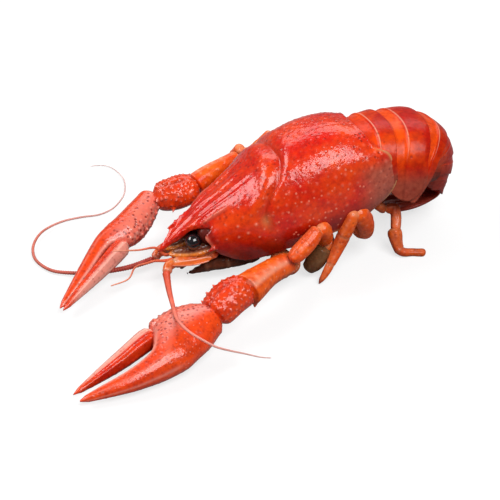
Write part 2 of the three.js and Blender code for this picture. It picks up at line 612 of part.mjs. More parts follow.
// The upper stretch is two pieces of shell: one from the hip to the low bend, one from there to the knee.
function legUpper({ upper: [hip, bend, ...rest], upperRadius: r }, grow = 0) {
  const hipPiece = limb([hip, bend], [[0, r * 0.9], [1, r * 0.9]], { sides: 6, rows: 5, cap: 0.2, grow });
  const thigh = limb([bend, ...rest], [[0, r * 0.9], [0.6, r], [1, r * 0.8]], { rows: 6, cap: 0.15, grow });
  return hipPiece.add(thigh);
}
const legLower = ({ lower, lowerRadii }, grow = 0) => limb(lower, lowerRadii, { rows: 8, cap: 0.08, grow });

// ---------------------------------------------------------------- materials
function shellColour(hex, roughness) {
  return new THREE.MeshStandardMaterial({ color: hex, roughness, metalness: 0 });
}
const RED = shellColour(0xc8281a, 0.35);
const DEEP_RED = shellColour(0xa82018, 0.4);
const ORANGE = shellColour(0xd9481e, 0.4);
const BELLY = shellColour(0x8c3a28, 0.5);
const BROWN = shellColour(0x5c2c1a, 0.5);
const PALE = shellColour(0xe08a70, 0.45);
const BLACK = shellColour(0x101014, 0.1);

// ---------------------------------------------------------------- assembly
const crayfish = new THREE.Group();
crayfish.position.set(-MIDDLE_X, -MIDDLE_Y, 0);

const placed = [];

const apart = (a, b) => [0, 1, 2].some((i) => a.max[i] < b.min[i] || b.max[i] < a.min[i]);

// Adds a piece. make(grow) gives its body; what was placed before it, grown by the gap, is cut out of it.
function place(name, make, material) {
  const whole = make(0);
  const reach = whole.boundingBox();
  const near = placed.filter((other) => !apart(reach, other.reach));
  const data = onGround(largest(less(whole, ...near.map((other) => other.grown)))).getMesh();
  const geometry = new THREE.BufferGeometry();
  geometry.setAttribute("position", new THREE.BufferAttribute(new Float32Array(data.vertProperties), 3));
  geometry.setIndex(new THREE.BufferAttribute(new Uint32Array(data.triVerts), 1));
  const mesh = new THREE.Mesh(geometry, material);
  mesh.name = name;
  crayfish.add(mesh);
  const grown = make(CLEARANCE);
  placed.push({ grown, reach: grown.boundingBox() });
}

const SIDES = [[1, "left"], [-1, "right"]];

place("carapace", (grow) => (grow > 0 ? shell(grow).add(skin(12, 12, rostrumPoint)) : carapace()), RED);
for (let i = 0; i < 6; i++) place(`abdomen_segment_${i + 1}`, (grow) => abdomenSegment(i, grow), DEEP_RED);
place("telson", telson, DEEP_RED);
for (const [side, name] of SIDES) {
  place(`uropod_${name}_inner`, (grow) => uropod(side, false, grow), DEEP_RED);
  place(`uropod_${name}_outer`, (grow) => uropod(side, true, grow), DEEP_RED);
}
for (const [side, name] of SIDES) {
  place(`claw_${name}_arm`, (grow) => arm(name, grow), ORANGE);
  place(`claw_${name}_wrist`, (grow) => wrist(name, grow), RED);
  place(`claw_${name}_finger`, (grow) => finger(CLAWS[name], grow), RED);
  place(`claw_${name}_hand`, (grow) => hand(CLAWS[name], grow), RED);
}
for (const leg of LEGS) {
  place(`leg_${leg.name}_upper`, (grow) => legUpper(leg, grow), ORANGE);
  place(`leg_${leg.name}_lower`, (grow) => legLower(leg, grow), ORANGE);
}
for (const [side, name] of SIDES) {
  place(`eye_${name}`, (grow) => ball(trunk(EYE_X, side * EYE_Y, EYE_Z), EYE_RADIUS + grow, 12, 8), BLACK);
  place(`maxilliped_${name}`, (grow) => maxilliped(side, grow), BROWN);
  place(`antennal_scale_${name}`, (grow) => antennalScale(side, grow), ORANGE);
  place(`antenna_base_${name}`, (grow) => antennaBase(side, name, grow), ORANGE);
}
place("sternum", sternum, BELLY);
const antennaOf = (route) => (grow) => strand(route, ANTENNA_ROOT_RADIUS + grow, ANTENNA_TIP_RADIUS + grow, 32);
place("antenna_left", antennaOf(leftAntennaRoute), RED);
place("antenna_right", antennaOf(rightAntennaRoute), PALE);
antennules.forEach((route, i) => {
  place(`antennule_${SIDES[i][1]}`, (grow) => strand(route, 0.55 + grow, 0.3 + grow, 14), PALE);
});

export default crayfish;
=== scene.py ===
# A boiled narrow-clawed crayfish: the finished surfaces that stand for the plain solids of its frame.
import json
import math

import bmesh
import bpy
import numpy as np
from mathutils import Matrix, Vector
from mathutils.kdtree import KDTree

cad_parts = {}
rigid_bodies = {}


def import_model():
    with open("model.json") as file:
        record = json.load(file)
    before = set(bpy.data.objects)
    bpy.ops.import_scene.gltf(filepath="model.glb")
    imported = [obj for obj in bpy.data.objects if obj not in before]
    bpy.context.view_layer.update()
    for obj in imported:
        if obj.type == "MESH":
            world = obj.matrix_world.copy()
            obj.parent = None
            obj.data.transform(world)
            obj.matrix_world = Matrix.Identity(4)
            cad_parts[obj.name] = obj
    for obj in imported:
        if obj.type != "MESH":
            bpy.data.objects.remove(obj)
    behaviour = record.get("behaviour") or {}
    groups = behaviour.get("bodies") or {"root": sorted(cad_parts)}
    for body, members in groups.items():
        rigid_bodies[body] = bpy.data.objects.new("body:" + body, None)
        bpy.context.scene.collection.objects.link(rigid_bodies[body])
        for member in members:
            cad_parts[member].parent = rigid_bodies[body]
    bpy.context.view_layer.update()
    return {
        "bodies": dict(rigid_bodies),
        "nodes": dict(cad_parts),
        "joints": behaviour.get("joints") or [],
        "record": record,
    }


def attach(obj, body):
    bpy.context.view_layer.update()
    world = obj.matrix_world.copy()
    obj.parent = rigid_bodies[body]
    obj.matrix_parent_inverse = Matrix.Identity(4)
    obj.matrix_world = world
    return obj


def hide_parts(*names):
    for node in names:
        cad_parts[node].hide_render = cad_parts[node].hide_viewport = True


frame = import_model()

# ---------- frame of the animal
# Every form is worked out in millimetres in the animal's frame: x towards the head, y to its left, z up from
# the ground, with the middle of its box at MIDDLE. The row's frame has that middle at its origin, in metres.
MILLIMETRE = 0.001
MIDDLE = np.array([29.22, -0.08, 0.0])
SIDES = ((1, "left"), (-1, "right"))

# The trunk's own frame stands upright. It is turned about the place TRUNK_TOP above its zero, which then lies
# TRUNK_LIFT above the ground.
TRUNK_PITCH = math.radians(14)
TRUNK_ROLL = math.radians(12)
TRUNK_TOP = 26.0
TRUNK_LIFT = 32.4
TRUNK_TURN = np.array(Matrix.Rotation(TRUNK_ROLL, 3, "X") @ Matrix.Rotation(TRUNK_PITCH, 3, "Y"))


def xyz(x, y, z):
    """Points from three numbers or arrays."""
    return np.stack(np.broadcast_arrays(x, y, z), -1).astype(float)


def trunk(x, y, z):
    """From the trunk's own frame, x forwards from the carapace's rear edge, to the animal's."""
    return (xyz(x, y, z) - (0, 0, TRUNK_TOP)) @ TRUNK_TURN.T + (0, 0, TRUNK_LIFT)


def in_trunk(points):
    """The way back, from the animal's frame to the trunk's."""
    return (points - (0, 0, TRUNK_LIFT)) @ TRUNK_TURN + (0, 0, TRUNK_TOP)


def to_row(points):
    """From the animal's frame, in millimetres, to the row's, in metres."""
    return (points - MIDDLE) * MILLIMETRE


# ---------- curves and masks
def through(*stations):
    """A smooth curve through stations (position, value), flat outside them."""
    place, value = np.array(stations, float).T
    before = np.maximum(np.arange(len(place)) - 1, 0)
    after = np.minimum(np.arange(len(place)) + 1, len(place) - 1)
    slope = (value[after] - value[before]) / (place[after] - place[before])

    def curve(position):
        p = np.clip(position, place[0], place[-1])
        i = np.clip(np.searchsorted(place, p, side="right") - 1, 0, len(place) - 2)
        span = place[i + 1] - place[i]
        t = (p - place[i]) / span
        t2, t3 = t * t, t * t * t
        start = value[i] * (2 * t3 - 3 * t2 + 1) + slope[i] * span * (t3 - 2 * t2 + t)
        return start + value[i + 1] * (3 * t2 - 2 * t3) + slope[i + 1] * span * (t3 - t2)

    return curve


def smooth(value, low, high):
    """A step from 0 at low to 1 at high, without corners."""
    t = np.clip((value - low) / (high - low), 0, 1)
    return t * t * (3 - 2 * t)


def bell(distance, width):
    """1 at no distance, falling to about a third at one width."""
    return np.exp(-((distance / width) ** 2))


def unit(vectors):
    """The same directions, one long."""
    return vectors / np.maximum(np.linalg.norm(vectors, axis=-1, keepdims=True), 1e-9)


def smooth_path(points, count=200):
    """Evenly spaced points on a smooth curve through some given ones."""
    given = np.array(points, float)
    padded = np.vstack([2 * given[0] - given[1], given, 2 * given[-1] - given[-2]])
    t = np.linspace(0, len(given) - 1.000001, 6 * count)
    i = t.astype(int)
    f = (t - i)[:, None]
    a, b, c, d = (padded[i + k] for k in range(4))
    fine = 0.5 * (2 * b + (c - a) * f + (2 * a - 5 * b + 4 * c - d) * f**2 + (3 * b - a - 3 * c + d) * f**3)
    run = np.concatenate([[0], np.cumsum(np.linalg.norm(np.diff(fine, axis=0), axis=1))])
    even = np.linspace(0, run[-1], count)
    return np.stack([np.interp(even, run, fine[:, k]) for k in range(3)], 1)


# ---------- meshes
def coordinates(mesh):
    """The places of a mesh's points."""
    flat = np.zeros(len(mesh.vertices) * 3, np.float32)
    mesh.vertices.foreach_get("co", flat)
    return flat.reshape(-1, 3).astype(float)


def set_coordinates(mesh, points):
    """Moves a mesh's points to other places."""
    mesh.vertices.foreach_set("co", points.astype(np.float32).ravel())
    mesh.update()


def normals(mesh):
    """The directions outwards at a mesh's points."""
    flat = np.zeros(len(mesh.vertices) * 3, np.float32)
    mesh.vertex_normals.foreach_get("vector", flat)
    return flat.reshape(-1, 3).astype(float)


def mesh_of(bm, name):
    """A mesh of the bmesh, its faces turned outwards."""
    bmesh.ops.recalc_face_normals(bm, faces=bm.faces)
    mesh = bpy.data.meshes.new(name)
    bm.to_mesh(mesh)
    bm.free()
    return mesh


def ball_net(columns, rows):
    """A ball's net, and where its points lie: each one's turn and its share of the way between the poles."""
    bm = bmesh.new()
    bmesh.ops.create_uvsphere(bm, u_segments=columns, v_segments=rows, radius=1)
    ball = np.array([v.co for v in bm.verts])
    along = np.arccos(np.clip(ball[:, 2], -1, 1)) / math.pi
    pole = np.hypot(ball[:, 0], ball[:, 1]) < 1e-5
    turn = np.where(pole, 0, np.arctan2(ball[:, 1], ball[:, 0]) / (2 * math.pi) % 1)
    return bm, turn, along


def net(columns, rows):
    """The turns and shares alone, in the order of a globe's points."""
    bm, turn, along = ball_net(columns, rows)
    bm.free()
    return turn, along


def globe(name, columns, rows, form):
    """A ball's net drawn over a form: form(turn, along) gives its points for both running from 0 to 1."""
    bm, turn, along = ball_net(columns, rows)
    for vertex, place in zip(bm.verts, form(turn, along)):
        vertex.co = place
    return mesh_of(bm, name)


END_SHARE = 0.06  # of a shell's net, at either end, for its end faces


def halves(turn):
    """For a shell's turns: the side, 1 or -1, and the share of the way from the back to the belly."""
    return np.where(turn < 0.5, 1, -1), np.where(turn < 0.5, 2 * turn, 2 * (1 - turn))


def wall_share(along):
    """The share of a shell's length, for places between its end faces."""
    return np.clip((along - END_SHARE) / (1 - 2 * END_SHARE), 0, 1)


def end_faces(along):
    """How far in from a shell's rear and front rims its end faces' places lie, 1 in their middles."""
    return 1 - np.clip(along / END_SHARE, 0, 1), 1 - np.clip((1 - along) / END_SHARE, 0, 1)


def ball_mesh(centre, radius):
    """A small ball."""
    bm = bmesh.new()
    bmesh.ops.create_icosphere(bm, subdivisions=2, radius=radius)
    bmesh.ops.translate(bm, verts=bm.verts, vec=Vector(centre))
    return mesh_of(bm, "ball")


THORN_POINT = 0.12  # of a thorn's radius, at its tip
THORN_ROOT = 0.6  # of its radius, sunk into what it stands on


def thorn(at, direction, height, radius):
    """A small cone with a blunt point, standing at a place and leaning along a direction."""
    bm = bmesh.new()
    bmesh.ops.create_cone(
        bm, cap_ends=True, segments=12, radius1=radius, radius2=THORN_POINT * radius, depth=height
    )
    bmesh.ops.translate(bm, verts=bm.verts, vec=(0, 0, height / 2 - THORN_ROOT * radius))
    turn = Vector(direction).to_track_quat("Z", "Y").to_matrix()
    bmesh.ops.rotate(bm, verts=bm.verts, matrix=turn)
    bmesh.ops.translate(bm, verts=bm.verts, vec=Vector(at))
    return mesh_of(bm, "thorn")


def joined(name, meshes):
    """One mesh of several."""
    bm = bmesh.new()
    for mesh in meshes:
        bm.from_mesh(mesh)
        bpy.data.meshes.remove(mesh)
    mesh = bpy.data.meshes.new(name)
    bm.to_mesh(mesh)
    bm.free()
    return mesh


SHELL_VOXEL = 0.28  # sizes of the cells in which bodies are fused, in millimetres
CLAW_VOXEL = 0.24
LEG_VOXEL = 0.22


def fused(name, meshes, voxel, soften=2):
    """Several bodies grown together into one skin of even faces."""
    mesh = joined(name, meshes)
    piece = bpy.data.objects.new("fusing", mesh)
    bpy.context.collection.objects.link(piece)
    remesh = piece.modifiers.new("fuse", "REMESH")
    remesh.mode = "VOXEL"
    remesh.voxel_size = voxel
    soft = piece.modifiers.new("soften", "SMOOTH")
    soft.iterations = soften
    done = bpy.data.meshes.new_from_object(piece.evaluated_get(bpy.context.evaluated_depsgraph_get()))
    bpy.data.objects.remove(piece)
    bpy.data.meshes.remove(mesh)
    return done


def emboss(mesh, heights):
    """Moves every point out along the surface's normal by its height."""
    set_coordinates(mesh, coordinates(mesh) + normals(mesh) * heights[:, None])


def store(mesh, **masks):
    """Keeps masks, one value or one for each point, on the mesh, where the materials read them by name."""
    for name, values in masks.items():
        attribute = mesh.attributes.get(name) or mesh.attributes.new(name, "FLOAT", "POINT")
        each = np.broadcast_to(np.clip(values, 0, 1), len(mesh.vertices))
        attribute.data.foreach_set("value", each.astype(np.float32))


def spread(points, wanted, spacing, seed):
    """Seeded places picked from points where wanted, none nearer to another than its own spacing."""
    order = np.random.default_rng(seed).permutation(np.flatnonzero(wanted))
    room = np.broadcast_to(spacing, len(points))
    kept = np.zeros((0, 3))
    gaps = np.zeros(0)
    for i in order:
        if len(kept) == 0 or (np.sum((kept - points[i]) ** 2, 1) > np.maximum(gaps, room[i]) ** 2).all():
            kept = np.vstack([kept, points[i]])
            gaps = np.append(gaps, room[i])
    return kept


def nearest(points, centres):
    """Each point's distance to the nearest of the centres, and which one that is."""
    tree = KDTree(len(centres))
    for i, centre in enumerate(centres):
        tree.insert(centre, i)
    tree.balance()
    found = [tree.find(point) for point in points]
    return np.array([f[2] for f in found]), np.array([f[1] for f in found])


def finish(name, mesh, material, replaced=()):
    """Makes a piece of a mesh in millimetres, kept above the ground, and lets it stand for its solids."""
    points = coordinates(mesh)
    points[:, 2] = np.maximum(points[:, 2], 0)
    set_coordinates(mesh, to_row(points))
    mesh.shade_smooth()
    piece = bpy.data.objects.new(name, mesh)
    bpy.context.collection.objects.link(piece)
    mesh.materials.clear()
    mesh.materials.append(material)
    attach(piece, "root")
    if replaced:
        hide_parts(*replaced)


# ---------- nodes
def node(tree, kind, **settings):
    """A new node with its settings."""
    made = tree.nodes.new(kind)
    for key, value in settings.items():
        setattr(made, key, value)
    return made


def plug(tree, socket, value):
    """Links an input to another node's output, or sets its value."""
    if isinstance(value, bpy.types.NodeSocket):
        tree.links.new(value, socket)
    else:
        socket.default_value = value


def feed(tree, target, **inputs):
    """Links or sets a node's inputs by name, spaces written as underscores."""
    for key, value in inputs.items():
        plug(tree, target.inputs[key.replace("_", " ")], value)


def math_node(tree, operation, first, second):
    """What comes of two values."""
    made = node(tree, "ShaderNodeMath", operation=operation)
    plug(tree, made.inputs[0], first)
    plug(tree, made.inputs[1], second)
    return made.outputs[0]


def plus(tree, first, second, share):
    """One value and a share of another."""
    return math_node(tree, "ADD", first, math_node(tree, "MULTIPLY", second, share))


MIX_INPUTS = (0, 6, 7)  # of a colour mix: its share and its two colours
MIX_OUTPUT = 2


def mixed(tree, share, first, second, blend="MIX"):
    """A colour between two, by a share."""
    made = node(tree, "ShaderNodeMix", data_type="RGBA", blend_type=blend)
    for place, value in zip(MIX_INPUTS, (share, first, second)):
        plug(tree, made.inputs[place], value)
    return made.outputs[MIX_OUTPUT]


def ranged(tree, value, low, high, to_low=0.0, to_high=1.0):
    """A value's range from low to high, stretched to another range and clamped."""
    made = node(tree, "ShaderNodeMapRange", clamp=True)
    feed(tree, made, Value=value, From_Min=low, From_Max=high, To_Min=to_low, To_Max=to_high)
    return made.outputs["Result"]


def mask(tree, name):
    """A mask that store keeps on the mesh; 0 on a mesh without it."""
    return node(tree, "ShaderNodeAttribute", attribute_name=name).outputs["Fac"]


def texture(tree, kind, inputs, **settings):
    """A texture's outputs, laid out by the places of the object."""
    made = node(tree, kind, **settings)
    feed(tree, made, Vector=node(tree, "ShaderNodeTexCoord").outputs["Object"], **inputs)
    return made.outputs


def placed(tree, group, **inputs):
    """The outputs of a node group placed in a tree."""
    made = node(tree, "ShaderNodeGroup", node_tree=group)
    feed(tree, made, **inputs)
    return made.outputs


def new_group(name, inputs, outputs):
    """An empty node group with the given sockets: name, kind and default of each."""
    group = bpy.data.node_groups.new(name, "ShaderNodeTree")
    for socket, kind, default in inputs:
        made = group.interface.new_socket(socket, in_out="INPUT", socket_type=kind)
        made.default_value = default
    for socket, kind in outputs:
        group.interface.new_socket(socket, in_out="OUTPUT", socket_type=kind)
    return group, group.nodes.new("NodeGroupInput").outputs, group.nodes.new("NodeGroupOutput")


COLOUR = "NodeSocketColor"
FLOAT = "NodeSocketFloat"


def linear(red, green, blue):
    """A colour given as it looks on a screen, 0 to 255, as the linear values that shaders take."""
    def one(value):
        v = value / 255
        return v / 12.92 if v <= 0.04045 else ((v + 0.055) / 1.055) ** 2.4

    return (one(red), one(green), one(blue), 1.0)


def blank_material(name):
    """A new material, its tree and its shader."""
    material = bpy.data.materials.new(name)
    material.use_nodes = True
    return material, material.node_tree, material.node_tree.nodes["Principled BSDF"]


# ---------- node groups
CLOUD_BLUR = 0.3  # of the noise's range, between the two colours
CLOUD_START = 0.85  # where that starts for a share of 0


def mottle_group():
    """Cloudy change between two colours, from broad patches down to grains."""
    group, given, out = new_group(
        "mottle",
        [
            ("First", COLOUR, (1, 0, 0, 1)),
            ("Second", COLOUR, (1, 0.3, 0, 1)),
            ("Size", FLOAT, 6 * MILLIMETRE),
            ("Share", FLOAT, 0.5),
        ],
        [("Color", COLOUR), ("Cloud", FLOAT)],
    )
    scale = math_node(group, "DIVIDE", 1.0, given["Size"])
    broad = texture(group, "ShaderNodeTexNoise", dict(Scale=scale, Detail=4.0, Roughness=0.6))
    low = math_node(group, "SUBTRACT", CLOUD_START, given["Share"])
    cloud = ranged(group, broad["Fac"], low, math_node(group, "ADD", low, CLOUD_BLUR))
    feed(group, out, Color=mixed(group, cloud, given["First"], given["Second"]), Cloud=cloud)
    return group


SPOT_CORE = 0.45  # of a spot's width, fully dark
SPOT_SCATTER = 0.85


def spot_group():
    """Small round spots scattered over a surface."""
    group, given, out = new_group(
        "spots",
        [("Spacing", FLOAT, 1.1 * MILLIMETRE), ("Width", FLOAT, 0.3), ("Share", FLOAT, 0.5)],
        [("Spot", FLOAT)],
    )
    scale = math_node(group, "DIVIDE", 1.0, given["Spacing"])
    cells = texture(group, "ShaderNodeTexVoronoi", dict(Scale=scale, Randomness=SPOT_SCATTER), feature="F1")
    core = math_node(group, "MULTIPLY", given["Width"], SPOT_CORE)
    round_spot = ranged(group, cells["Distance"], core, given["Width"], 1.0, 0.0)
    chosen = math_node(group, "LESS_THAN", cells["Color"], given["Share"])
    feed(group, out, Spot=math_node(group, "MULTIPLY", round_spot, chosen))
    return group


TONES = ("Red", "Orange", "Deep", "Pale", "Cream", "Dull")
SIZES = ("Patch Size", "Pit Spacing", "Dot Spacing")
FLECKS = dict(First=(1, 1, 1, 1), Second=(0.7, 0.56, 0.52, 1), Size=1.3 * MILLIMETRE, Share=0.45)
DOTS = dict(Width=0.24, Share=0.55)
GRAINS = dict(Scale=1900.0, Detail=2.0, Roughness=0.5)
PIT_DARKNESS = 0.85
DOT_LIGHTNESS = 0.6
GRAIN_HEIGHT = 0.9  # as a share of the relief's height
DOT_HEIGHT = 0.6
DULL_ROUGHNESS = 0.15  # how much rougher the dull places are
FLECK_ROUGHNESS = 0.1


def shell_ground(group, given, mottle):
    """The shell's colour under its marks: clouds of red and orange with orange places, and deep and dull
    places that are partly painted shade.
    """
    tones = dict(First=given["Red"], Second=given["Orange"])
    colour = placed(group, mottle, Size=given["Patch Size"], Share=given["Patches"], **tones)["Color"]
    for name, tone in (("patch", "Orange"), ("deep", "Deep"), ("dull", "Dull")):
        colour = mixed(group, mask(group, name), colour, given[tone])
    return colour


def shell_marks(group, given, spots):
    """How strong the dark pits are, and how strong the pale dots."""
    cells = placed(group, spots, Spacing=given["Pit Spacing"], Width=given["Pit Width"], Share=given["Pits"])
    pit = math_node(group, "MULTIPLY", cells["Spot"], mask(group, "pitted"))
    cells = placed(group, spots, Spacing=given["Dot Spacing"], **DOTS)
    return pit, math_node(group, "MULTIPLY", cells["Spot"], mask(group, "dotted"))


def shell_group(mottle, spots):
    """Boiled shell: red with orange patches, deep and dull places that are partly painted shade, dark pits,
    pale tips and painted highlights, creamy joints.
    """
    colours = [(tone, COLOUR, (1, 1, 1, 1)) for tone in TONES]
    sizes = [(size, FLOAT, MILLIMETRE) for size in SIZES]
    shares = [("Patches", FLOAT, 0.4), ("Pits", FLOAT, 0.6), ("Pit Width", FLOAT, 0.36)]
    inputs = colours + sizes + shares + [("Roughness", FLOAT, 0.35)]
    outputs = [("Color", COLOUR), ("Roughness", FLOAT), ("Height", FLOAT)]
    group, given, out = new_group("boiled shell", inputs, outputs)
    flecks = placed(group, mottle, **FLECKS)
    pit, dot = shell_marks(group, given, spots)
    colour = mixed(group, 1.0, shell_ground(group, given, mottle), flecks["Color"], "MULTIPLY")
    light = math_node(group, "MAXIMUM", math_node(group, "MULTIPLY", dot, DOT_LIGHTNESS), mask(group, "tip"))
    colour = mixed(group, light, colour, given["Pale"])
    colour = mixed(group, math_node(group, "MULTIPLY", pit, PIT_DARKNESS), colour, given["Deep"])
    colour = mixed(group, mask(group, "joint"), colour, given["Cream"])
    rough = plus(group, given["Roughness"], mask(group, "dull"), DULL_ROUGHNESS)
    rough = plus(group, rough, flecks["Cloud"], FLECK_ROUGHNESS)
    grain = texture(group, "ShaderNodeTexNoise", GRAINS)["Fac"]
    rise = plus(group, math_node(group, "MULTIPLY", grain, GRAIN_HEIGHT), dot, DOT_HEIGHT)
    feed(group, out, Color=colour, Roughness=rough, Height=math_node(group, "SUBTRACT", rise, pit))
    return group


MOTTLE = mottle_group()
SPOTS = spot_group()
SHELL = shell_group(MOTTLE, SPOTS)


# ---------- materials
COARSE = 0.08  # heights of the relief, in millimetres
FINE = 0.05
RELIEF_STRENGTH = 0.7
COAT_ROUGHNESS = 0.17
SHELL_GLOSS = 0.1


def shell_material(name, bump, coat, **values):
    """A shell's material. Colours are given as they look on a screen, sizes in millimetres."""
    material, tree, shader = blank_material(name)
    for tone in TONES:
        values[tone] = linear(*values[tone])
    for size in SIZES:
        values[size.replace(" ", "_")] *= MILLIMETRE
    shell = placed(tree, SHELL, **values)
    relief = node(tree, "ShaderNodeBump")
    feed(tree, relief, Strength=RELIEF_STRENGTH, Distance=bump * MILLIMETRE, Height=shell["Height"])
    normal = relief.outputs["Normal"]
    feed(tree, shader, Base_Color=shell["Color"], Roughness=shell["Roughness"], Normal=normal)
    feed(tree, shader, Specular_IOR_Level=SHELL_GLOSS, Coat_Weight=coat)
    feed(tree, shader, Coat_Roughness=COAT_ROUGHNESS, Coat_Normal=normal)
    return material


carapace_shell = shell_material(
    "carapace shell", COARSE, 0.8,
    Red=(220, 27, 5), Orange=(244, 74, 9), Deep=(112, 18, 10),
    Pale=(250, 150, 122), Cream=(204, 148, 96), Dull=(176, 90, 70),
    Patch_Size=9, Patches=0.42, Pit_Spacing=1.25, Pits=0.62, Dot_Spacing=1.5, Roughness=0.36,
)
tail_shell = shell_material(
    "tail shell", FINE, 0.18,
    Red=(202, 25, 2), Orange=(245, 80, 6), Deep=(138, 18, 6),
    Pale=(252, 190, 160), Cream=(226, 150, 110), Dull=(158, 76, 58),
    Patch_Size=8, Patches=0.4, Pit_Spacing=1.3, Pits=0.4, Dot_Spacing=1.4, Roughness=0.36,
)
claw_shell = shell_material(
    "claw shell", COARSE, 0.8,
    Red=(228, 38, 7), Orange=(246, 76, 15), Deep=(134, 18, 8),
    Pale=(252, 186, 168), Cream=(246, 218, 196), Dull=(156, 76, 56),
    Patch_Size=6, Patches=0.5, Pit_Spacing=1.05, Pits=0.72, Pit_Width=0.44, Dot_Spacing=0.9, Roughness=0.38,
)
# Painted shade: Dull is a dark olive grey for legs and arms in the shade under the body.
leg_shell = shell_material(
    "leg shell", COARSE, 0.35,
    Red=(238, 60, 10), Orange=(252, 108, 28), Deep=(128, 28, 12),
    Pale=(252, 186, 156), Cream=(246, 190, 140), Dull=(82, 74, 48),
    Patch_Size=5, Patches=0.5, Pit_Spacing=1.1, Pits=0.4, Dot_Spacing=1.2, Roughness=0.38,
)
head_shell = shell_material(
    "head shell", FINE, 0.8,
    Red=(212, 58, 24), Orange=(234, 116, 46), Deep=(84, 14, 12),
    Pale=(252, 206, 186), Cream=(246, 214, 180), Dull=(120, 66, 48),
    Patch_Size=4, Patches=0.5, Pit_Spacing=1, Pits=0.3, Dot_Spacing=1.2, Roughness=0.36,
)
face_shell = shell_material(
    "face shell", FINE, 0.8,
    Red=(214, 86, 16), Orange=(236, 132, 30), Deep=(96, 26, 16),
    Pale=(250, 214, 170), Cream=(246, 214, 180), Dull=(120, 66, 48),
    Patch_Size=3, Patches=0.5, Pit_Spacing=1, Pits=0.3, Dot_Spacing=1.2, Roughness=0.36,
)
# Painted shade: the mouthparts are coloured dark brown for the shade under the head.
shaded_mouth_shell = shell_material(
    "mouthpart shell in painted shade", FINE, 0.3,
    Red=(110, 44, 24), Orange=(150, 74, 40), Deep=(60, 20, 14),
    Pale=(190, 130, 100), Cream=(170, 120, 90), Dull=(92, 54, 34),
    Patch_Size=3, Patches=0.4, Pit_Spacing=1, Pits=0.3, Dot_Spacing=1.2, Roughness=0.45,
)
# Painted shade: the undersides, the tail's flesh, the plates between the legs and the eye stalks, are
# coloured dark maroon and brown for the shade they lie in.
shaded_underside_shell = shell_material(
    "underside shell in painted shade", FINE, 0.2,
    Red=(170, 66, 44), Orange=(200, 104, 70), Deep=(92, 26, 20),
    Pale=(226, 170, 140), Cream=(224, 170, 140), Dull=(140, 84, 64),
    Patch_Size=5, Patches=0.5, Pit_Spacing=1.4, Pits=0.3, Dot_Spacing=1.6, Roughness=0.5,
)

STRAND_CLOUDS = dict(First=(1, 1, 1, 1), Second=(0.8, 0.74, 0.74, 1), Size=3 * MILLIMETRE, Share=0.45)
STRAND_ROUGHNESS = 0.38
STRAND_GLOSS = 0.4


def strand_material(name, *screen_colours):
    """A whip's skin: its colours from root over middle to tip, darker between its rings."""
    material, tree, shader = blank_material(name)
    root, middle, tip = (linear(*colour) for colour in screen_colours)
    along = mask(tree, "along")
    colour = mixed(tree, ranged(tree, along, 0.0, 0.45), root, middle)
    colour = mixed(tree, ranged(tree, along, 0.45, 0.95), colour, tip)
    gap = ranged(tree, mask(tree, "ring"), 0.0, 0.5, 0.35, 0.0)
    colour = mixed(tree, gap, colour, root)
    clouds = placed(tree, MOTTLE, **STRAND_CLOUDS)
    colour = mixed(tree, 1.0, colour, clouds["Color"], "MULTIPLY")
    rough = plus(tree, STRAND_ROUGHNESS, clouds["Cloud"], 0.15)
    feed(tree, shader, Base_Color=colour, Roughness=rough, Specular_IOR_Level=STRAND_GLOSS)
    return material


strand_red = strand_material("strand orange red", (220, 78, 40), (240, 130, 110), (248, 206, 198))
strand_dark = strand_material("strand dark red", (168, 40, 26), (222, 124, 104), (250, 230, 226))
strand_orange = strand_material("strand orange", (226, 84, 44), (230, 104, 66), (240, 160, 130))

FACETS = 7000.0  # of the eye, in a metre
FACET_DEPTH = 0.03 * MILLIMETRE


def eye_material():
    """A boiled eye: black and wet, its facets just felt in the gloss."""
    material, tree, shader = blank_material("eye black")
    facets = texture(tree, "ShaderNodeTexVoronoi", dict(Scale=FACETS), feature="DISTANCE_TO_EDGE")
    relief = node(tree, "ShaderNodeBump")
    feed(tree, relief, Strength=0.12, Distance=FACET_DEPTH, Height=facets["Distance"])
    black, grey = linear(14, 13, 17), linear(40, 34, 40)
    clouds = placed(tree, MOTTLE, First=black, Second=grey, Size=1.2 * MILLIMETRE, Share=0.35)
    feed(tree, shader, Base_Color=clouds["Color"], Roughness=0.16, Normal=relief.outputs["Normal"])
    feed(tree, shader, Specular_IOR_Level=0.6, Coat_Weight=0.6, Coat_Roughness=0.04)
    return material


eye_black = eye_material()


# ---------- carapace
SHELL_FRONT = 45.5
MARGIN_ANGLE = 145.0  # from the top round to the lower margin, in degrees
OUTER_SHARE = 0.7  # of half the net, for the outside; the rest closes the belly
BELLY_RISE = 1.5
SHELL_WALL = 1.3
SHELL_MIDDLE_Z = 15.0
SHELL_ARCH = 0.8  # power that fills out the arch's shoulders
REAR_HOLLOW = 2.5  # how deep the middles of the end faces lie
FRONT_HOLLOW = 3.5

shell_top = through(
    (0, 26.6), (5, 29.2), (12, 30.5), (19, 30), (25, 28.6), (31, 26.4), (37, 24.2), (42, 22.4), (46, 20.6)
)
shell_half_width = through(
    (0, 12.9), (6, 14.4), (13, 15.2), (20, 15), (27, 14.1), (33, 12.7), (38, 11), (42, 9.4), (46, 7.6)
)
shell_widest = through((0, 14), (12, 14), (30, 14), (38, 15), (46, 16))
shell_margin = through((0, 6), (6, 5.2), (14, 5.8), (22, 6.7), (30, 6.8), (38, 6.9), (42, 8.3), (46, 11))
rear_edge = through((0, 0), (40, -1), (55, -1.6), (68, -4.2), (90, -4.7), (110, -3), (128, 0.5), (145, 5))
front_edge = through((0, 1), (25, 0.4), (40, -1), (54, -1.5), (66, -0.9), (78, 0.8), (95, 0.5), (145, -1.2))
groove_line = through((0, 21.8), (22, 22.2), (44, 25), (52, 27.2), (62, 29.6), (72, 31.2), (84, 31.6))


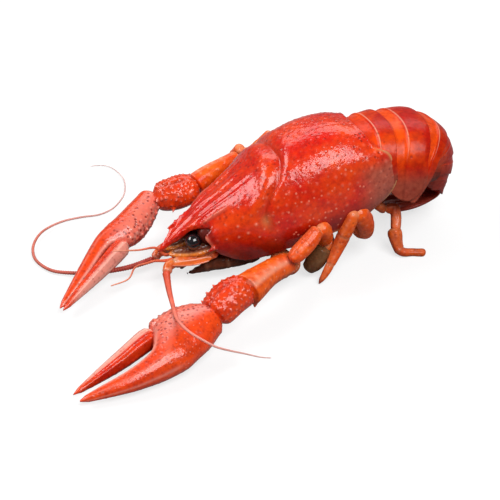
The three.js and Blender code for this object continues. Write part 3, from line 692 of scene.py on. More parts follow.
def shell_form(turn, along):
    """The carapace without its rostrum, its belly closed, both ends hollowed."""
    left, across = halves(turn)
    station = SHELL_FRONT * wall_share(along)
    angle = MARGIN_ANGLE * np.minimum(across / OUTER_SHARE, 1)
    a = np.radians(angle)
    behind = rear_edge(angle) * (1 - smooth(station, 0, 16))
    x = station + behind + front_edge(angle) * smooth(station, 34, SHELL_FRONT)
    widest, margin, half = shell_widest(station), shell_margin(station), shell_half_width(station)
    under = angle > 90
    y = half * np.where(under, 1 - 0.3 * (1 - np.sin(a)), np.abs(np.sin(a)) ** SHELL_ARCH)
    low = widest + (widest - margin) * np.cos(a) / -math.cos(math.radians(MARGIN_ANGLE))
    high = widest + (shell_top(station) - widest) * np.abs(np.cos(a)) ** SHELL_ARCH
    z = np.where(under, low, high)
    inwards = np.clip((across - OUTER_SHARE) / (1 - OUTER_SHARE), 0, 1)
    y = np.where(inwards > 0, (y - SHELL_WALL) * (1 - inwards), y)
    z = z + BELLY_RISE * smooth(inwards, 0, 0.45)
    rear, front = end_faces(along)
    closing = 1 - np.maximum(rear, front)
    x = x + REAR_HOLLOW * smooth(rear, 0, 1) - FRONT_HOLLOW * smooth(front, 0, 1)
    return trunk(x, left * y * closing, SHELL_MIDDLE_Z + (z - SHELL_MIDDLE_Z) * closing)


ROSTRUM_ROOT = 34.0
ROSTRUM_TIP = 58.5
rostrum_half_width = through(
    (34, 3), (41, 6), (43.4, 6.4), (45, 5.6), (47, 4.4), (51, 3.1), (52.6, 2.8), (54, 1.5), (58.5, 0.35)
)
BROW_DROOP = 1.1  # how steeply the blade slopes down over the eyes, beyond BROW_WIDTH from its middle
BROW_WIDTH = 3.4
rostrum_top = through((34, 24.6), (42, 22.9), (47, 20.9), (52, 18.7), (55, 17.2), (58.5, 15.4))
rostrum_thickness = through((34, 2.6), (50, 1.9), (58.5, 0.7))


def rostrum_form(turn, along):
    """A gutter-shaped blade with raised, finely toothed edges and a keel along its middle."""
    x = ROSTRUM_ROOT + (ROSTRUM_TIP - ROSTRUM_ROOT) * along
    blunt = np.minimum(1, np.minimum(along * 4, (1 - along) * 12))
    angle = 2 * math.pi * turn
    across = np.sin(angle)
    raised = (0.8 * np.abs(across) ** 4 + 0.6 * bell(across, 0.16)) * smooth(x, 36, 43)
    rise = np.where(np.cos(angle) > 0, raised, -rostrum_thickness(x) * (1 - 0.6 * across * across))
    top = rostrum_top(x) - 0.6 + rise * blunt * np.minimum(1, np.abs(np.cos(angle)) * 3)
    y = rostrum_half_width(x) * across * blunt
    return trunk(x, y, top - BROW_DROOP * np.maximum(0, np.abs(y) - BROW_WIDTH))


def trunk_way(x, y, z):
    """A direction of the trunk's frame, in the animal's."""
    return np.array([x, y, z], float) @ TRUNK_TURN.T


def shell_angle(x, y, z):
    """The angle from the top, in degrees, at which a place of the carapace lies, as shell_form counts it."""
    widest, margin, half = shell_widest(x), shell_margin(x), shell_half_width(x)
    side = np.clip(np.abs(y) / half, 0, 1) ** (1 / SHELL_ARCH)
    rise = np.clip((z - widest) / (shell_top(x) - widest), 0, 1) ** (1 / SHELL_ARCH)
    above = np.degrees(np.arctan2(side, rise))
    drop = np.clip((widest - z) / (widest - margin), 0, 1) * -math.cos(math.radians(MARGIN_ANGLE))
    below = np.degrees(np.arccos(-drop))
    return np.where(z > widest, above, below)


BROW_TEETH = 4
FIRST_BROW_TOOTH = 45.6
BROW_TOOTH_GAP = 1.6


def carapace_body():
    """The shell with its rostrum, its two teeth, the spines beside the eyes and the small brow teeth."""
    pieces = [globe("shell", 150, 120, shell_form), globe("rostrum", 48, 90, rostrum_form)]
    for side, _ in SIDES:
        pieces.append(thorn(trunk(51.2, side * 2.7, 18.8), trunk_way(1, side * 0.25, -0.2), 2.6, 0.7))
        pieces.append(thorn(trunk(45.6, side * 8, 13.8), trunk_way(1, side * 0.1, -0.1), 2.2, 0.8))
        for step in range(BROW_TEETH):
            x = FIRST_BROW_TOOTH + BROW_TOOTH_GAP * step
            half = float(rostrum_half_width(x))
            drop = BROW_DROOP * max(0, half - BROW_WIDTH)
            edge = trunk(x, side * (half - 0.1), rostrum_top(x) + 0.1 - drop)
            pieces.append(thorn(edge, trunk_way(1, side * 0.9, 0.1), 0.9, 0.4))
    return fused("carapace", pieces, SHELL_VOXEL, 3)


class ShellPlaces:
    """Where the carapace's points lie, and how near they are to its groove and its rims."""

    def __init__(self, mesh):
        self.points = coordinates(mesh)
        self.x, self.y, self.z = in_trunk(self.points).T
        x, z = self.x, self.z
        self.angle = angle = shell_angle(x, self.y, z)
        middle = trunk(np.clip(x, 0, 44), 0 * x, 0 * x + SHELL_MIDDLE_Z)
        facing = np.sum(normals(mesh) * unit(self.points - middle), 1)
        self.outer = (facing > 0.2) & (angle < MARGIN_ANGLE - 4)
        self.blade = x > 46
        self.before_groove = x - groove_line(angle)
        self.groove_fade = 1 - smooth(angle, 80, 96)
        self.orbit_ridge = bell(angle - 36, 4) * smooth(x, 37, 41) * (1 - smooth(x, 44.5, 46))
        self.rear_rim = bell(x - rear_edge(angle) - 0.5, 0.4) * (angle < 135)
        self.low_rim = bell(z - shell_margin(x) - 0.5, 0.45) * (angle > 100)
        self.front_rim = bell(x - SHELL_FRONT - front_edge(angle) + 0.2, 0.45) * bell(angle - 76, 26)


def shell_relief(at):
    """The heights of the groove and its banks, the lines and ridges of the back, and the rims."""
    x, angle, before_groove = at.x, at.angle, at.before_groove
    valley = 0.6 * bell(before_groove, 1.6) + 0.2 * bell(before_groove, 0.6)
    front_bank = 0.55 * bell(before_groove - 3.8, 2.4) * (1 - smooth(angle, 52, 74))
    banks = front_bank + 0.2 * bell(before_groove + 3, 2)
    back_lines = bell(np.abs(at.y) - 3.3, 0.4) * smooth(-before_groove, 1, 4) * smooth(at.z, 20, 24)
    head_top = smooth(x, 27, 36) * (1 - smooth(x, 44.5, 47))
    ridges = 0.3 * bell(angle - 13, 2.4) + 0.22 * bell(angle - 22, 2.4) + 0.3 * bell(angle, 2.5)
    height = (banks - valley) * at.groove_fade - 0.1 * back_lines + ridges * head_top + 0.5 * at.orbit_ridge
    return height + 0.16 * at.rear_rim + 0.14 * at.low_rim + 0.2 * at.front_rim


def shell_tubercles(at):
    """Tubercles, larger on the flanks and largest on the cheeks: how high points rise, and how pale."""
    x, angle, fade = at.x, at.angle, at.groove_fade
    flank = smooth(angle, 34, 58) * (x < 44)
    on_cheek = smooth(angle, 66, 76) * (1 - smooth(angle, 112, 124))
    cheek = smooth(x, 30, 34) * (1 - smooth(x, 42, 44)) * on_cheek
    off_groove = np.abs(at.before_groove) * fade > 0.8 * fade
    wanted = at.outer & ~at.blade & (x > rear_edge(angle) + 1.4) & off_groove
    wanted &= (angle < 128) & ((x < 44.5) | (angle > 60))
    centres = spread(at.points, wanted, 1.2 + 0.7 * flank + 0.5 * cheek, 3)
    distance, which = nearest(at.points, centres)
    size = np.random.default_rng(5).uniform(0.6, 1.2, len(centres))[which]
    bumps = bell(distance, 0.36 * size) * at.outer * ~at.blade
    tips = bell(distance, 0.32 * size) * at.outer * ~at.blade
    return (0.09 + 0.05 * flank + 0.09 * cheek) * size * bumps, tips * (0.06 + 0.24 * flank + 0.6 * cheek)


def shell_masks(at, tips):
    """The carapace's masks by name."""
    x, angle, before_groove = at.x, at.angle, at.before_groove
    behind_eye = bell(x - 38.5, 4.5) * bell(angle - 62, 20)
    groove_patch = bell(before_groove - 2.6, 2.4) * bell(angle - 58, 24)
    notch_patch = bell(x + 1.6, 2.2) * bell(angle - 58, 7)
    groove_end = bell(before_groove, 1.3) * bell(angle - 80, 7)
    # Painted shade for the deep mask: the lower flank, the edge beside the eye's socket and the groove.
    low = smooth(angle, 84, 124) * (1 - 0.5 * smooth(x, 38, 44))
    front = smooth(x, 43.4, 44.8) * bell(angle - 68, 20) * ~at.blade
    groove = bell(before_groove, 0.9) * at.groove_fade
    rear_flank = smooth(angle, 66, 82) * (1 - smooth(x, 1, 9))
    rims = np.maximum(0.8 * at.rear_rim * smooth(angle, 50, 64), 0.7 * at.low_rim * (1 - smooth(x, 12, 22)))
    gill_cover = smooth(angle, 34, 56) * (1 - smooth(angle, 118, 130))
    back = (1 - 0.8 * smooth(angle, 50, 74)) * (1 - smooth(x, 42, 47))
    return dict(
        # The tubercle tips and the front rim are pale; the ridge above the eye is paled as a painted
        # highlight.
        tip=tips + 0.95 * at.front_rim * smooth(angle, 74, 82) + 0.4 * at.orbit_ridge,
        patch=0.8 * behind_eye + 0.75 * groove_patch + notch_patch + groove_end,
        # Painted shade: the lower flank, the socket's edge and the groove darkened towards Deep.
        deep=0.85 * low + 0.8 * front + 0.25 * groove,
        dull=0.85 * rear_flank + 0.25 * (~at.outer),
        joint=rims + 0.4 * groove_end,
        dotted=gill_cover * (1 - smooth(x, 30, 34)) * smooth(x, 0, 6),
        pitted=0.55 * back + 0.4 * (1 - smooth(x, 0, 8)),
    )


def carapace():
    """The head's and breast's shell, with all its relief and marks."""
    mesh = carapace_body()
    at = ShellPlaces(mesh)
    rises, tips = shell_tubercles(at)
    emboss(mesh, np.where(at.outer, shell_relief(at) + rises, 0))
    store(mesh, **shell_masks(at, tips))
    finish("carapace.shell", mesh, carapace_shell, ["carapace"])


# ---------- limbs
class Route:
    """A smooth curve, with the directions along, across and over it at every point."""

    def __init__(self, points, up=(0, 0, 1), count=160):
        self.path = smooth_path(points, count)
        self.along = unit(np.gradient(self.path, axis=0))
        self.across = unit(np.cross(self.along, up))
        self.over = np.cross(self.across, self.along)

    def at(self, t, across, over):
        """The places at shares t of its length, so far across and over it."""
        place = np.clip(t, 0, 1) * (len(self.path) - 1)
        i = np.minimum(place.astype(int), len(self.path) - 2)
        f = (place - i)[:, None]

        def mix(rows):
            return rows[i] * (1 - f) + rows[i + 1] * f

        return mix(self.path) + across[:, None] * mix(self.across) + over[:, None] * mix(self.over)

    def of(self, points):
        """Where points lie: at which share of its length, and how far across and over it."""
        which = nearest(points, self.path)[1]
        away = points - self.path[which]
        across = np.sum(away * self.across[which], 1)
        over = np.sum(away * self.over[which], 1)
        return which / (len(self.path) - 1), across, over


def limb(route, radii, flat=1.0, columns=36, rows=60, cap=0.12):
    """A tapering, round-ended form along a route; radii are stations on 0 to 1."""
    radius = through(*radii)

    def form(turn, along):
        t = (1 - np.cos(math.pi * along)) / 2
        end = np.clip(np.minimum(t, 1 - t) / cap, 0, 1)
        r = radius(t) * np.sqrt(1 - (1 - end) ** 2)
        angle = 2 * math.pi * turn
        return route.at(t, r * np.cos(angle), r * flat * np.sin(angle))

    return globe("limb", columns, rows, form)


def tubercles(points, wanted, spacing, seed, radius, height):
    """Rounded tubercles scattered where wanted: how high each point rises, and how near it is to a tip."""
    centres = spread(points, wanted, spacing, seed)
    distance, which = nearest(points, centres)
    size = np.random.default_rng(seed).uniform(0.65, 1.25, len(centres))[which]
    return height * size * bell(distance, radius * size), bell(distance, 0.8 * radius * size)


def drawn(route, radii, *shape):
    """A limb's mesh along a route, and where its points lie: how far along, across and over the route."""
    mesh = limb(route, radii, *shape)
    return mesh, *route.of(coordinates(mesh))


def thorn_tips(points, places, reach):
    """How near points are to the tips of thorns, each given as (place, direction, height, radius)."""
    tips = [np.array(at) + unit(np.array(way, float)) * (height - 0.8) for at, way, height, _ in places]
    return bell(nearest(points, np.array(tips))[0], reach)


# ---------- abdomen
TAIL_START_X = 1.6
TAIL_START_Z = 26.2
SEGMENT_ENDS = (0, 9, 19, 26.4, 33, 40, 47)
CURLED_FROM = 3  # the rings from here on lie flatter, curled under the body, and darker with painted shade
RING_ORANGE = (0.4, 1, 0.9, 0.2, 0, 0)  # how orange each ring's front is
RING_SHADE = (0, 0, 0.05, 0.25, 0.3, 0.35)  # painted shade: how much deeper each ring's red is, more on the rings curled under the body
PLEURON_ANGLE = 125.0  # from the back round to the lower edge of a ring's side, in degrees
PLEURON_SHARE = 0.66  # of half a ring's net, for its outside; the rest closes the belly
SIDE_PARALLEL = 0.6  # how much a ring's sides keep to its middle's direction
RING_WALL = 1.1
RING_ARCH = 0.82  # power that fills out the arch's shoulders
FIRST_TUCK = 0.4
RING_TUCK = 2.4  # how far a ring reaches forwards under the one before it
RING_LAP = 0.5  # how far its rear edge reaches over the next
TAIL_STEP = 0.05

tail_turn = through((0, -4), (7, 1), (14, 6), (21, 20), (27, 48), (33.5, 76), (40, 98), (47, 107))
ring_height = through((0, 15), (8, 17.5), (14, 19), (22, 19.5), (29, 18), (35, 15.5), (41, 12.8), (47, 9.5))
ring_half_width = through((0, 12), (8, 13.2), (16, 14.2), (24, 13.8), (31, 13.2), (39, 12), (47, 8.8))
tail_drift = through((0, 0), (14, 0), (24, -0.3), (34, -2.3), (47, -4.3))
RIDGE_SHARES = (0.6, 0.4, 0.56, 0.5, 0.5, 0.5)  # where on each ring's length its thin ridge runs
# How far a ring's surface stands proud of its middle, by the length from its ridge, in front and behind.
ring_front = through((-6, -0.85), (-2, -0.5), (-0.7, -0.34), (-0.2, -0.05), (0, 0.02))
ring_rear = through((0, 0.02), (0.35, -0.08), (1.5, 0.0), (3, 0.14), (5, 0.3))

tail_stations = np.arange(-4, 54, TAIL_STEP)
tail_turns = np.radians(tail_turn(tail_stations)) + TRUNK_PITCH
tail_start = int(np.argmin(np.abs(tail_stations)))


def travelled(steps):
    """The way made from the tail's start by steps along it."""
    run = np.cumsum(steps)
    return (run - run[tail_start]) * TAIL_STEP


tail_x = TAIL_START_X - travelled(np.cos(tail_turns))
tail_z = TAIL_START_Z - travelled(np.sin(tail_turns))


def tail_point(s, y, depth, turn):
    """A point at y to the left and at a depth below the back, along a direction of the given turn."""
    x, z = np.interp(s, tail_stations, tail_x), np.interp(s, tail_stations, tail_z)
    return trunk(x + np.sin(turn) * depth, tail_drift(s) + y, z - np.cos(turn) * depth)


def ring_places(index, turn, along):
    """For a ring's net: the share of its length, how far behind its ridge, and the angle from the back."""
    first, last = SEGMENT_ENDS[index], SEGMENT_ENDS[index + 1]
    tuck = RING_TUCK if index else FIRST_TUCK
    share = (wall_share(along) * (last - first + tuck + RING_LAP) - tuck) / (last - first)
    behind_ridge = (share - RIDGE_SHARES[index]) * (last - first)
    return share, behind_ridge, PLEURON_ANGLE * np.minimum(halves(turn)[1] / PLEURON_SHARE, 1)


def ring_outline(angle, half, height, lobe):
    """A ring's outline across the tail by the angle from the back: how far out, how far below the back."""
    under = angle > math.pi / 2
    side = np.abs(np.sin(angle))
    y = half * np.where(under, 1 - 0.14 * (1 - side), side**RING_ARCH)
    widest = 0.6 * height
    upper = widest * (1 - np.abs(np.cos(np.minimum(angle, math.pi / 2))) ** RING_ARCH)
    lower = widest + (height * lobe - widest) * np.cos(angle) / math.cos(math.radians(PLEURON_ANGLE))
    return y, np.where(under, lower, upper)


def ring_form(index):
    """A ring of the tail: an arch with a rounded plate at either side, its belly and its ends closed."""
    first, last = SEGMENT_ENDS[index], SEGMENT_ENDS[index + 1]
    middle_turn = math.radians(float(tail_turn((first + last) / 2))) + TRUNK_PITCH
    slant = min(1, 0.5 + 0.25 * index)
    relief, plate = (1, 1) if index < CURLED_FROM else (0.4, 0.9)

    def form(turn, along):
        side, across = halves(turn)
        share, behind, degrees = ring_places(index, turn, along)
        s = first + share * (last - first) + slant * np.maximum(1.8 * (1 - (degrees / 55) ** 2), -1.5)
        flare = relief * np.where(behind < 0, ring_front(behind), ring_rear(behind))
        height, half = ring_height(s), ring_half_width(s) + flare
        lobe = plate * (0.72 + 0.28 * np.sin(math.pi * np.clip(0.9 * share + 0.1, 0, 1)) ** 0.7)
        y, depth = ring_outline(np.radians(degrees), half, height, lobe)
        inwards = np.clip((across - PLEURON_SHARE) / (1 - PLEURON_SHARE), 0, 1)
        y = np.where(inwards > 0, (y - RING_WALL) * (1 - inwards), y)
        depth = depth - flare - height * (lobe - 0.66) * smooth(inwards, 0, 0.5)
        closing = 1 - np.maximum(*end_faces(along))
        depth = 0.4 * height + (depth - 0.4 * height) * closing
        own_turn = np.radians(tail_turn(s)) + TRUNK_PITCH
        turned = own_turn + (middle_turn - own_turn) * SIDE_PARALLEL * smooth(depth / height, 0, 0.8)
        return tail_point(s, side * y * closing, depth, turned)

    return form


def ring(index):
    """One ring of the tail, dented behind its ridge, with its marks, painted shade and a painted highlight
    along its ridge.
    """
    mesh = globe("ring", 180, 84, ring_form(index))
    turn, along = net(180, 84)
    share, behind, degrees = ring_places(index, turn, along)
    across, t = halves(turn)[1], wall_share(along)
    outside = (across < PLEURON_SHARE) & (t > 0) & (t < 1)
    dents = tubercles(coordinates(mesh), outside & (behind > 0.8), 1.7, 20 + index, 0.35, -0.05)[0]
    emboss(mesh, dents * outside)
    curled = index >= CURLED_FROM
    front = 1 - smooth(behind, -0.9, -0.1)
    off_flank = 1 - 0.6 * smooth(degrees, 55, 88)
    root, low = 1 - smooth(share, 0, 0.14), smooth(degrees, 80, 112)
    # The flanks dull towards the belly: rougher, and darker as painted shade, over more of the curled rings'
    # sides.
    dull_shaded_flank = 0.4 * smooth(degrees, 40, 90) if curled else 0.8 * smooth(degrees, 80, 104)
    store(
        mesh,
        patch=RING_ORANGE[index] * front * off_flank * smooth(share, -0.1, 0.12),
        # Painted shade: deeper red on the curled rings, where a ring tucks under the one before, and on the
        # lower sides.
        deep=RING_SHADE[index] + 0.24 * smooth(behind, 0.3, 1.6) + 0.5 * root + 0.3 * low,
        # Painted highlight: a pale line along the ridge's crest over the back, faint on the curled rings.
        tip=(0.12 if curled else 0.6) * bell(behind, 0.15) * (1 - smooth(degrees, 40, 80)),
        dull=dull_shaded_flank + 0.4 * (across > PLEURON_SHARE),
        pitted=0.6 * (1 - front),
    )
    finish(f"abdomen.ring_{index + 1}", mesh, tail_shell, [f"abdomen_segment_{index + 1}"])


def abdomen():
    """The tail's six rings."""
    for index in range(len(SEGMENT_ENDS) - 1):
        ring(index)


def abdomen_belly():
    """The flesh that fills the hollow under the rings, painted dark maroon as the shade under the tail."""
    stations = np.linspace(4, 45, 12)
    depths = through((4, 0.6), (24, 0.64), (34, 0.76), (45, 0.7))(stations) * ring_height(stations)
    turns = np.radians(tail_turn(stations)) + TRUNK_PITCH
    route = Route([tail_point(s, 0, depth, turn) for s, depth, turn in zip(stations, depths, turns)])
    mesh, t, across, _ = drawn(route, [(0, 8), (0.4, 11.2), (0.7, 10.6), (1, 7)], 0.42, 80, 120, 0.1)
    emboss(mesh, 0.3 * np.cos(12 * math.pi * t))
    # Painted shade: nearly all deep maroon.
    store(mesh, deep=0.8, dull=0.3 * bell(across, 2))
    finish("abdomen.belly", mesh, shaded_underside_shell)


# ---------- tail fan
# The fan lies folded under the body, its root to the rear and its tip forwards.
FAN_Y = -4.0
FAN_Z = 2.7
FAN_REAR = -22.5
FAN_TIP = -9.0
FAN_ROLL = math.radians(14)
FAN_FLATNESS = 0.3
FAN_UP = np.array([0, -math.sin(FAN_ROLL), math.cos(FAN_ROLL)])


def fan(x, across, up):
    """A place in the fan's rolled frame."""
    base = np.array([x, FAN_Y + across * math.cos(FAN_ROLL), FAN_Z + across * math.sin(FAN_ROLL)])
    return base + FAN_UP * up


def blade(name, points, radii, cap):
    """A flat lobe of the tail fan, ribbed lengthways, with a fringed far edge."""
    route = Route(points, FAN_UP)
    mesh, t, across, _ = drawn(route, radii, FAN_FLATNESS, 60, 60, cap)
    half = through(*radii)(t)
    ribs = np.cos(across / np.maximum(half, 0.5) * 7) * 0.1 + 0.25 * bell(across, 0.35)
    emboss(mesh, ribs * smooth(half - np.abs(across), 0, 0.8))
    edge = smooth(t, 0.8, 1)
    pale = 0.3 * edge + 0.12 * bell(across, 0.3)
    store(mesh, deep=0.6 * smooth(t, 0.05, 0.3) - 0.3 * edge, dull=0.5, tip=pale)
    finish(f"tail_fan.{name}", mesh, tail_shell, [name])


def tail_fan():
    """The middle lobe, and an inner and an outer one at either side, the outer ones lower."""
    points = [fan(FAN_REAR, 0, 1.6), fan(-17, 0, 1.2), fan(FAN_TIP, 0, 0.4)]
    blade("telson", points, [(0, 4), (0.5, 4.2), (1, 3)], 0.2)
    for side, name in SIDES:
        inner = [
            fan(FAN_REAR + 1, side * 2.4, 0.8),
            fan(-18, side * 3.3, 0.2),
            fan(FAN_TIP - 0.5, side * 3, -0.1),
        ]
        blade(f"uropod_{name}_inner", inner, [(0, 3.2), (0.5, 3), (1, 2.4)], 0.25)
        outer = [
            fan(FAN_REAR - 3.6, side * 4.8 + 0.4, 2.1),
            fan(-18, side * 6.5 + 0.5, 0),
            fan(FAN_TIP - 2, side * 6, -0.9),
        ]
        blade(f"uropod_{name}_outer", outer, [(0, 3.8), (0.5, 3.2), (1, 2.4)], 0.25)


# ---------- claws
class ClawFrame:
    """A claw's own frame: t along the line from wrist to tips, w across it to the left, h above it."""

    def __init__(self, wrist, tips, turned):
        self.wrist = np.array(wrist, float)
        self.along = unit(np.array(tips, float) - self.wrist)
        across = Vector(unit(np.cross((0, 0, 1), self.along)))
        across.rotate(Matrix.Rotation(math.radians(turned), 3, Vector(self.along)))
        self.across = np.array(across)
        self.over = np.cross(self.along, self.across)
        self.axes = np.stack([self.along, self.across, self.over])

    def at(self, t, w, h):
        """A place of the claw's frame, in the animal's."""
        return self.wrist + xyz(t, w, h) @ self.axes

    def of(self, points):
        """The way back: the t, w and h of points."""
        return ((points - self.wrist) @ self.axes.T).T


def claw_form(frame, start, stop, middle, half_width, half_thick):
    """A hand or finger from start to stop, its middle line and half sizes given by stations of t."""
    mid, wide, thick = through(*middle), through(*half_width), through(*half_thick)

    def form(turn, along):
        t = start + (stop - start) * 0.5 * (along + (1 - np.cos(math.pi * along)) / 2)
        near = np.minimum(t - start, stop - t)
        pole = (along < 1e-4) | (along > 1 - 1e-4)
        blunt = np.minimum(1, np.sqrt(np.maximum(0.02, near) / 2.2)) * ~pole
        angle = 2 * math.pi * turn
        return frame.at(t, mid(t) + wide(t) * blunt * np.sin(angle), thick(t) * blunt * np.cos(angle))

    return globe("claw", 96, 150, form)


LEFT_CLAW = dict(
    frame=ClawFrame((47.2, 31.8, 6), (85.5, 43.3, 2), 0),
    hand=dict(
        start=-1.2,
        stop=40.6,
        middle=[
            (0, 0), (2.5, -1), (6, -1), (11, -0.5), (14, 0.8), (18.5, 3.9), (22.5, 4.5), (29, 4), (40.6, 1.4),
        ],
        half_width=[
            (0, 3.4), (2.5, 5.6), (6, 7.4), (11, 8.3), (14, 7.8),
            (18.5, 4.4), (22.5, 3.3), (29, 2.4), (40.6, 0.7),
        ],
        half_thick=[(0, 3.6), (3, 4.3), (8, 4.8), (14, 4.7), (20, 3.7), (28, 2.4), (40.6, 0.6)],
    ),
    finger=dict(
        start=14,
        stop=40.6,
        middle=[(14, -5.1), (17, -5.1), (20.5, -4.5), (25, -3.6), (33, -2.4), (40.6, -1.4)],
        half_width=[(14, 2.6), (17, 2.9), (21, 2.7), (24.5, 2.5), (29, 2.1), (33, 1.6), (40.6, 0.5)],
        half_thick=[(14, 2.4), (18, 2.6), (24.5, 2.2), (33, 1.4), (40.6, 0.4)],
    ),
)
RIGHT_CLAW = dict(
    frame=ClawFrame((48.2, -16.2, 9), (80.7, 12.4, 2.6), -10),
    hand=dict(
        start=-1.5,
        stop=43.6,
        middle=[
            (0, -0.4), (5, 0.1), (12, 0.1), (16, -0.8), (18, -1.6), (21, -2.6), (31, -1.85), (43.6, -0.9),
        ],
        half_width=[(0, 3), (6, 4), (14, 4.5), (18, 3.6), (21, 2.5), (31, 1.75), (43.6, 0.5)],
        half_thick=[(0, 3.2), (8, 3.9), (15, 3.8), (21, 2.9), (31, 2), (43.6, 0.5)],
    ),
    finger=dict(
        start=16.4,
        stop=43.8,
        middle=[(16.4, 1.9), (21, 1.7), (26, 1.4), (34, 0.8), (43.8, 0.1)],
        half_width=[(16.4, 2.1), (20, 2.3), (26, 2), (34, 1.4), (43.8, 0.4)],
        half_thick=[(16.4, 2.6), (21, 2.6), (31, 1.9), (43.8, 0.5)],
    ),
)

PALM_BUMPS = 7
BUMP_HEIGHT = 1.5
BUMP_RADIUS = 1.1
KNOB_RADIUS = 2  # of the hinge that the finger turns on
TOOTH_GAP = 1.15
TOOTH_RADIUS = 0.42
BIG_TOOTH = 4  # how far along the bite its largest tooth stands


class ClawPart:
    """A hand or its movable finger. inner is the side, 1 or -1, that faces the animal's middle line."""

    def __init__(self, claw, part, inner):
        self.frame, self.given, self.inner = claw["frame"], claw[part], inner
        curves = (through(*self.given[key]) for key in ("middle", "half_width", "half_thick"))
        self.mid, self.wide, self.thick = curves
        self.is_hand = part == "hand"
        self.teeth_side = inner if self.is_hand else -inner
        self.palm_end = claw["finger"]["start"] - 0.8
        self.first_tooth = claw["finger"]["start"] + 5
        self.bumps = np.linspace(2.2, self.palm_end - 1, PALM_BUMPS) if self.is_hand else []

    def edge(self, t, side, out, h):
        """A place so far outside the edge on a side."""
        return self.frame.at(t, self.mid(t) + side * (self.wide(t) + out), h)

    def body(self):
        """The form with its teeth and, on the hand, the bumps of its inner edge and the finger's hinge."""
        pieces = [claw_form(self.frame, **self.given)]
        leaning = self.inner * self.frame.across + 0.3 * self.frame.along + 0.5 * self.frame.over
        for t in self.bumps:
            pieces.append(thorn(self.edge(t, self.inner, -0.35, 0.9), leaning, BUMP_HEIGHT, BUMP_RADIUS))
        if self.is_hand:
            pieces.append(ball_mesh(self.edge(self.palm_end, self.inner, -1.5, 1.2), KNOB_RADIUS))
        for t in np.arange(self.first_tooth, self.given["stop"] - 1.5, TOOTH_GAP):
            radius = TOOTH_RADIUS + 0.25 * bell(t - self.first_tooth - BIG_TOOTH, 1.2)
            pieces.append(ball_mesh(self.edge(t, self.teeth_side, -0.25, 0.0), radius))
        return fused("claw", pieces, CLAW_VOXEL)

    def look_at(self, points):
        """Where points lie on the part, and how near to its ridges."""
        self.t, w, h = self.frame.of(points)
        self.across = (w - self.mid(self.t)) / np.maximum(self.wide(self.t), 0.4)
        self.above = h / np.maximum(self.thick(self.t), 0.4)
        self.palm = (1 - smooth(self.t, self.palm_end, self.palm_end + 6)) * self.is_hand
        self.away_from_tip = smooth(self.given["stop"] - self.t, 1.5, 7)
        to_teeth = self.across * self.teeth_side
        on_top = smooth(self.above, 0.25, 0.6) * (1 - self.palm)
        self.seam_ridge = bell(to_teeth - 0.66, 0.16) * on_top
        self.outer_ridge = bell(to_teeth + 0.35, 0.12) * on_top
        self.side_line = bell(self.above - 0.15, 0.12) * smooth(-to_teeth, 0.5, 0.9) * (1 - self.palm)
        self.inner_edge = smooth(self.across * self.inner, 0.3, 0.75)

    def relief(self, rises):
        """The heights of tubercles, ridges, the furrow between them and the finger's keel."""
        furrow = bell(self.across, 0.22) * smooth(self.above, 0.3, 0.7) * (1 - self.palm)
        keel = bell(self.across + 0.2 * self.inner, 0.16) * smooth(self.above, 0.25, 0.6) * (not self.is_hand)
        lines = 0.24 * self.seam_ridge + 0.12 * self.outer_ridge - 0.16 * furrow + 0.25 * keel
        return rises * (0.5 + 1.2 * self.inner_edge * self.palm) + lines * self.away_from_tip

    def masks(self, points, tips):
        """The part's masks by name."""
        shared, across = self.shared_masks(), self.across * self.inner
        top, fingers = smooth(self.above, -0.1, 0.5), 1 - self.palm
        if not self.is_hand:
            root = 1 - smooth(self.t, self.given["start"] + 2, self.given["start"] + 5)
            # Painted light: the upper half of the finger's side away from the bite is paled as a highlight,
            # and the side towards the bite darkened as shade.
            highlit_face = smooth(across, -0.2, 0.1) * smooth(self.above, -0.5, 0)
            shared["tip"] += 0.62 * highlit_face * self.away_from_tip
            shared["deep"] += 0.12 * smooth(-across, -0.1, 0.3)
            return dict(shared, patch=0.1 + 0.6 * root, pitted=0.4 * top)
        # Painted highlight: the top of the palm is paled.
        highlit_crown = smooth(across, -0.45, 0.1) * top * self.palm
        bump_tips = np.array([self.edge(t, self.inner, 0.2, 1.3) for t in self.bumps])
        # Painted shade: dark rings round the bumps of the palm's inner edge.
        shaded_bump_rings = bell(nearest(points, bump_tips)[0] - 1.25, 0.4)
        # The seam ridge is paled, partly its own pale colour and partly painted highlight; the bump tips are
        # pale.
        shared["tip"] += 0.7 * self.seam_ridge + 0.3 * highlit_crown + 0.5 * tips * self.inner_edge * self.palm
        shared["deep"] += 0.75 * shaded_bump_rings
        shared["dotted"] += 0.7 * self.palm * (1 - highlit_crown)
        patch = 0.75 * smooth(-across, -0.2, 0.5) * self.palm + 0.6 * fingers
        pitted = self.palm * (0.3 + 0.7 * highlit_crown) + 0.4 * fingers * top
        return dict(shared, patch=patch, pitted=pitted)

    def shared_masks(self):
        """The masks that a hand and a finger have in common."""
        # Painted shade: darker underneath and along the biting edges between the fingers.
        shaded_underneath = smooth(-self.above, 0.1, 0.8)
        bite = smooth(self.across * self.teeth_side, 0.55, 0.95) * (1 - self.palm)
        start = self.given["start"]
        return dict(
            # Pale ridge lines, partly the shell's own pale ridges and partly painted highlight.
            tip=0.2 * self.outer_ridge + 0.3 * self.side_line,
            deep=0.45 * shaded_underneath + 0.45 * bite,
            dotted=0.55 * (self.seam_ridge + self.side_line) * self.away_from_tip,
            joint=0.8 * (1 - smooth(self.t, start + 0.6, start + 1.8)),
        )


def claw_part(claw, part, name, inner):
    """A finished hand or finger."""
    made = ClawPart(claw, part, inner)
    mesh = made.body()
    points = coordinates(mesh)
    made.look_at(points)
    rises, tips = tubercles(points, made.t > -5, 1.35, 31, 0.36, 0.09)
    emboss(mesh, made.relief(rises))
    store(mesh, **made.masks(points, tips))
    finish(f"claw_{name}.{part}", mesh, claw_shell, [f"claw_{name}_{part}"])


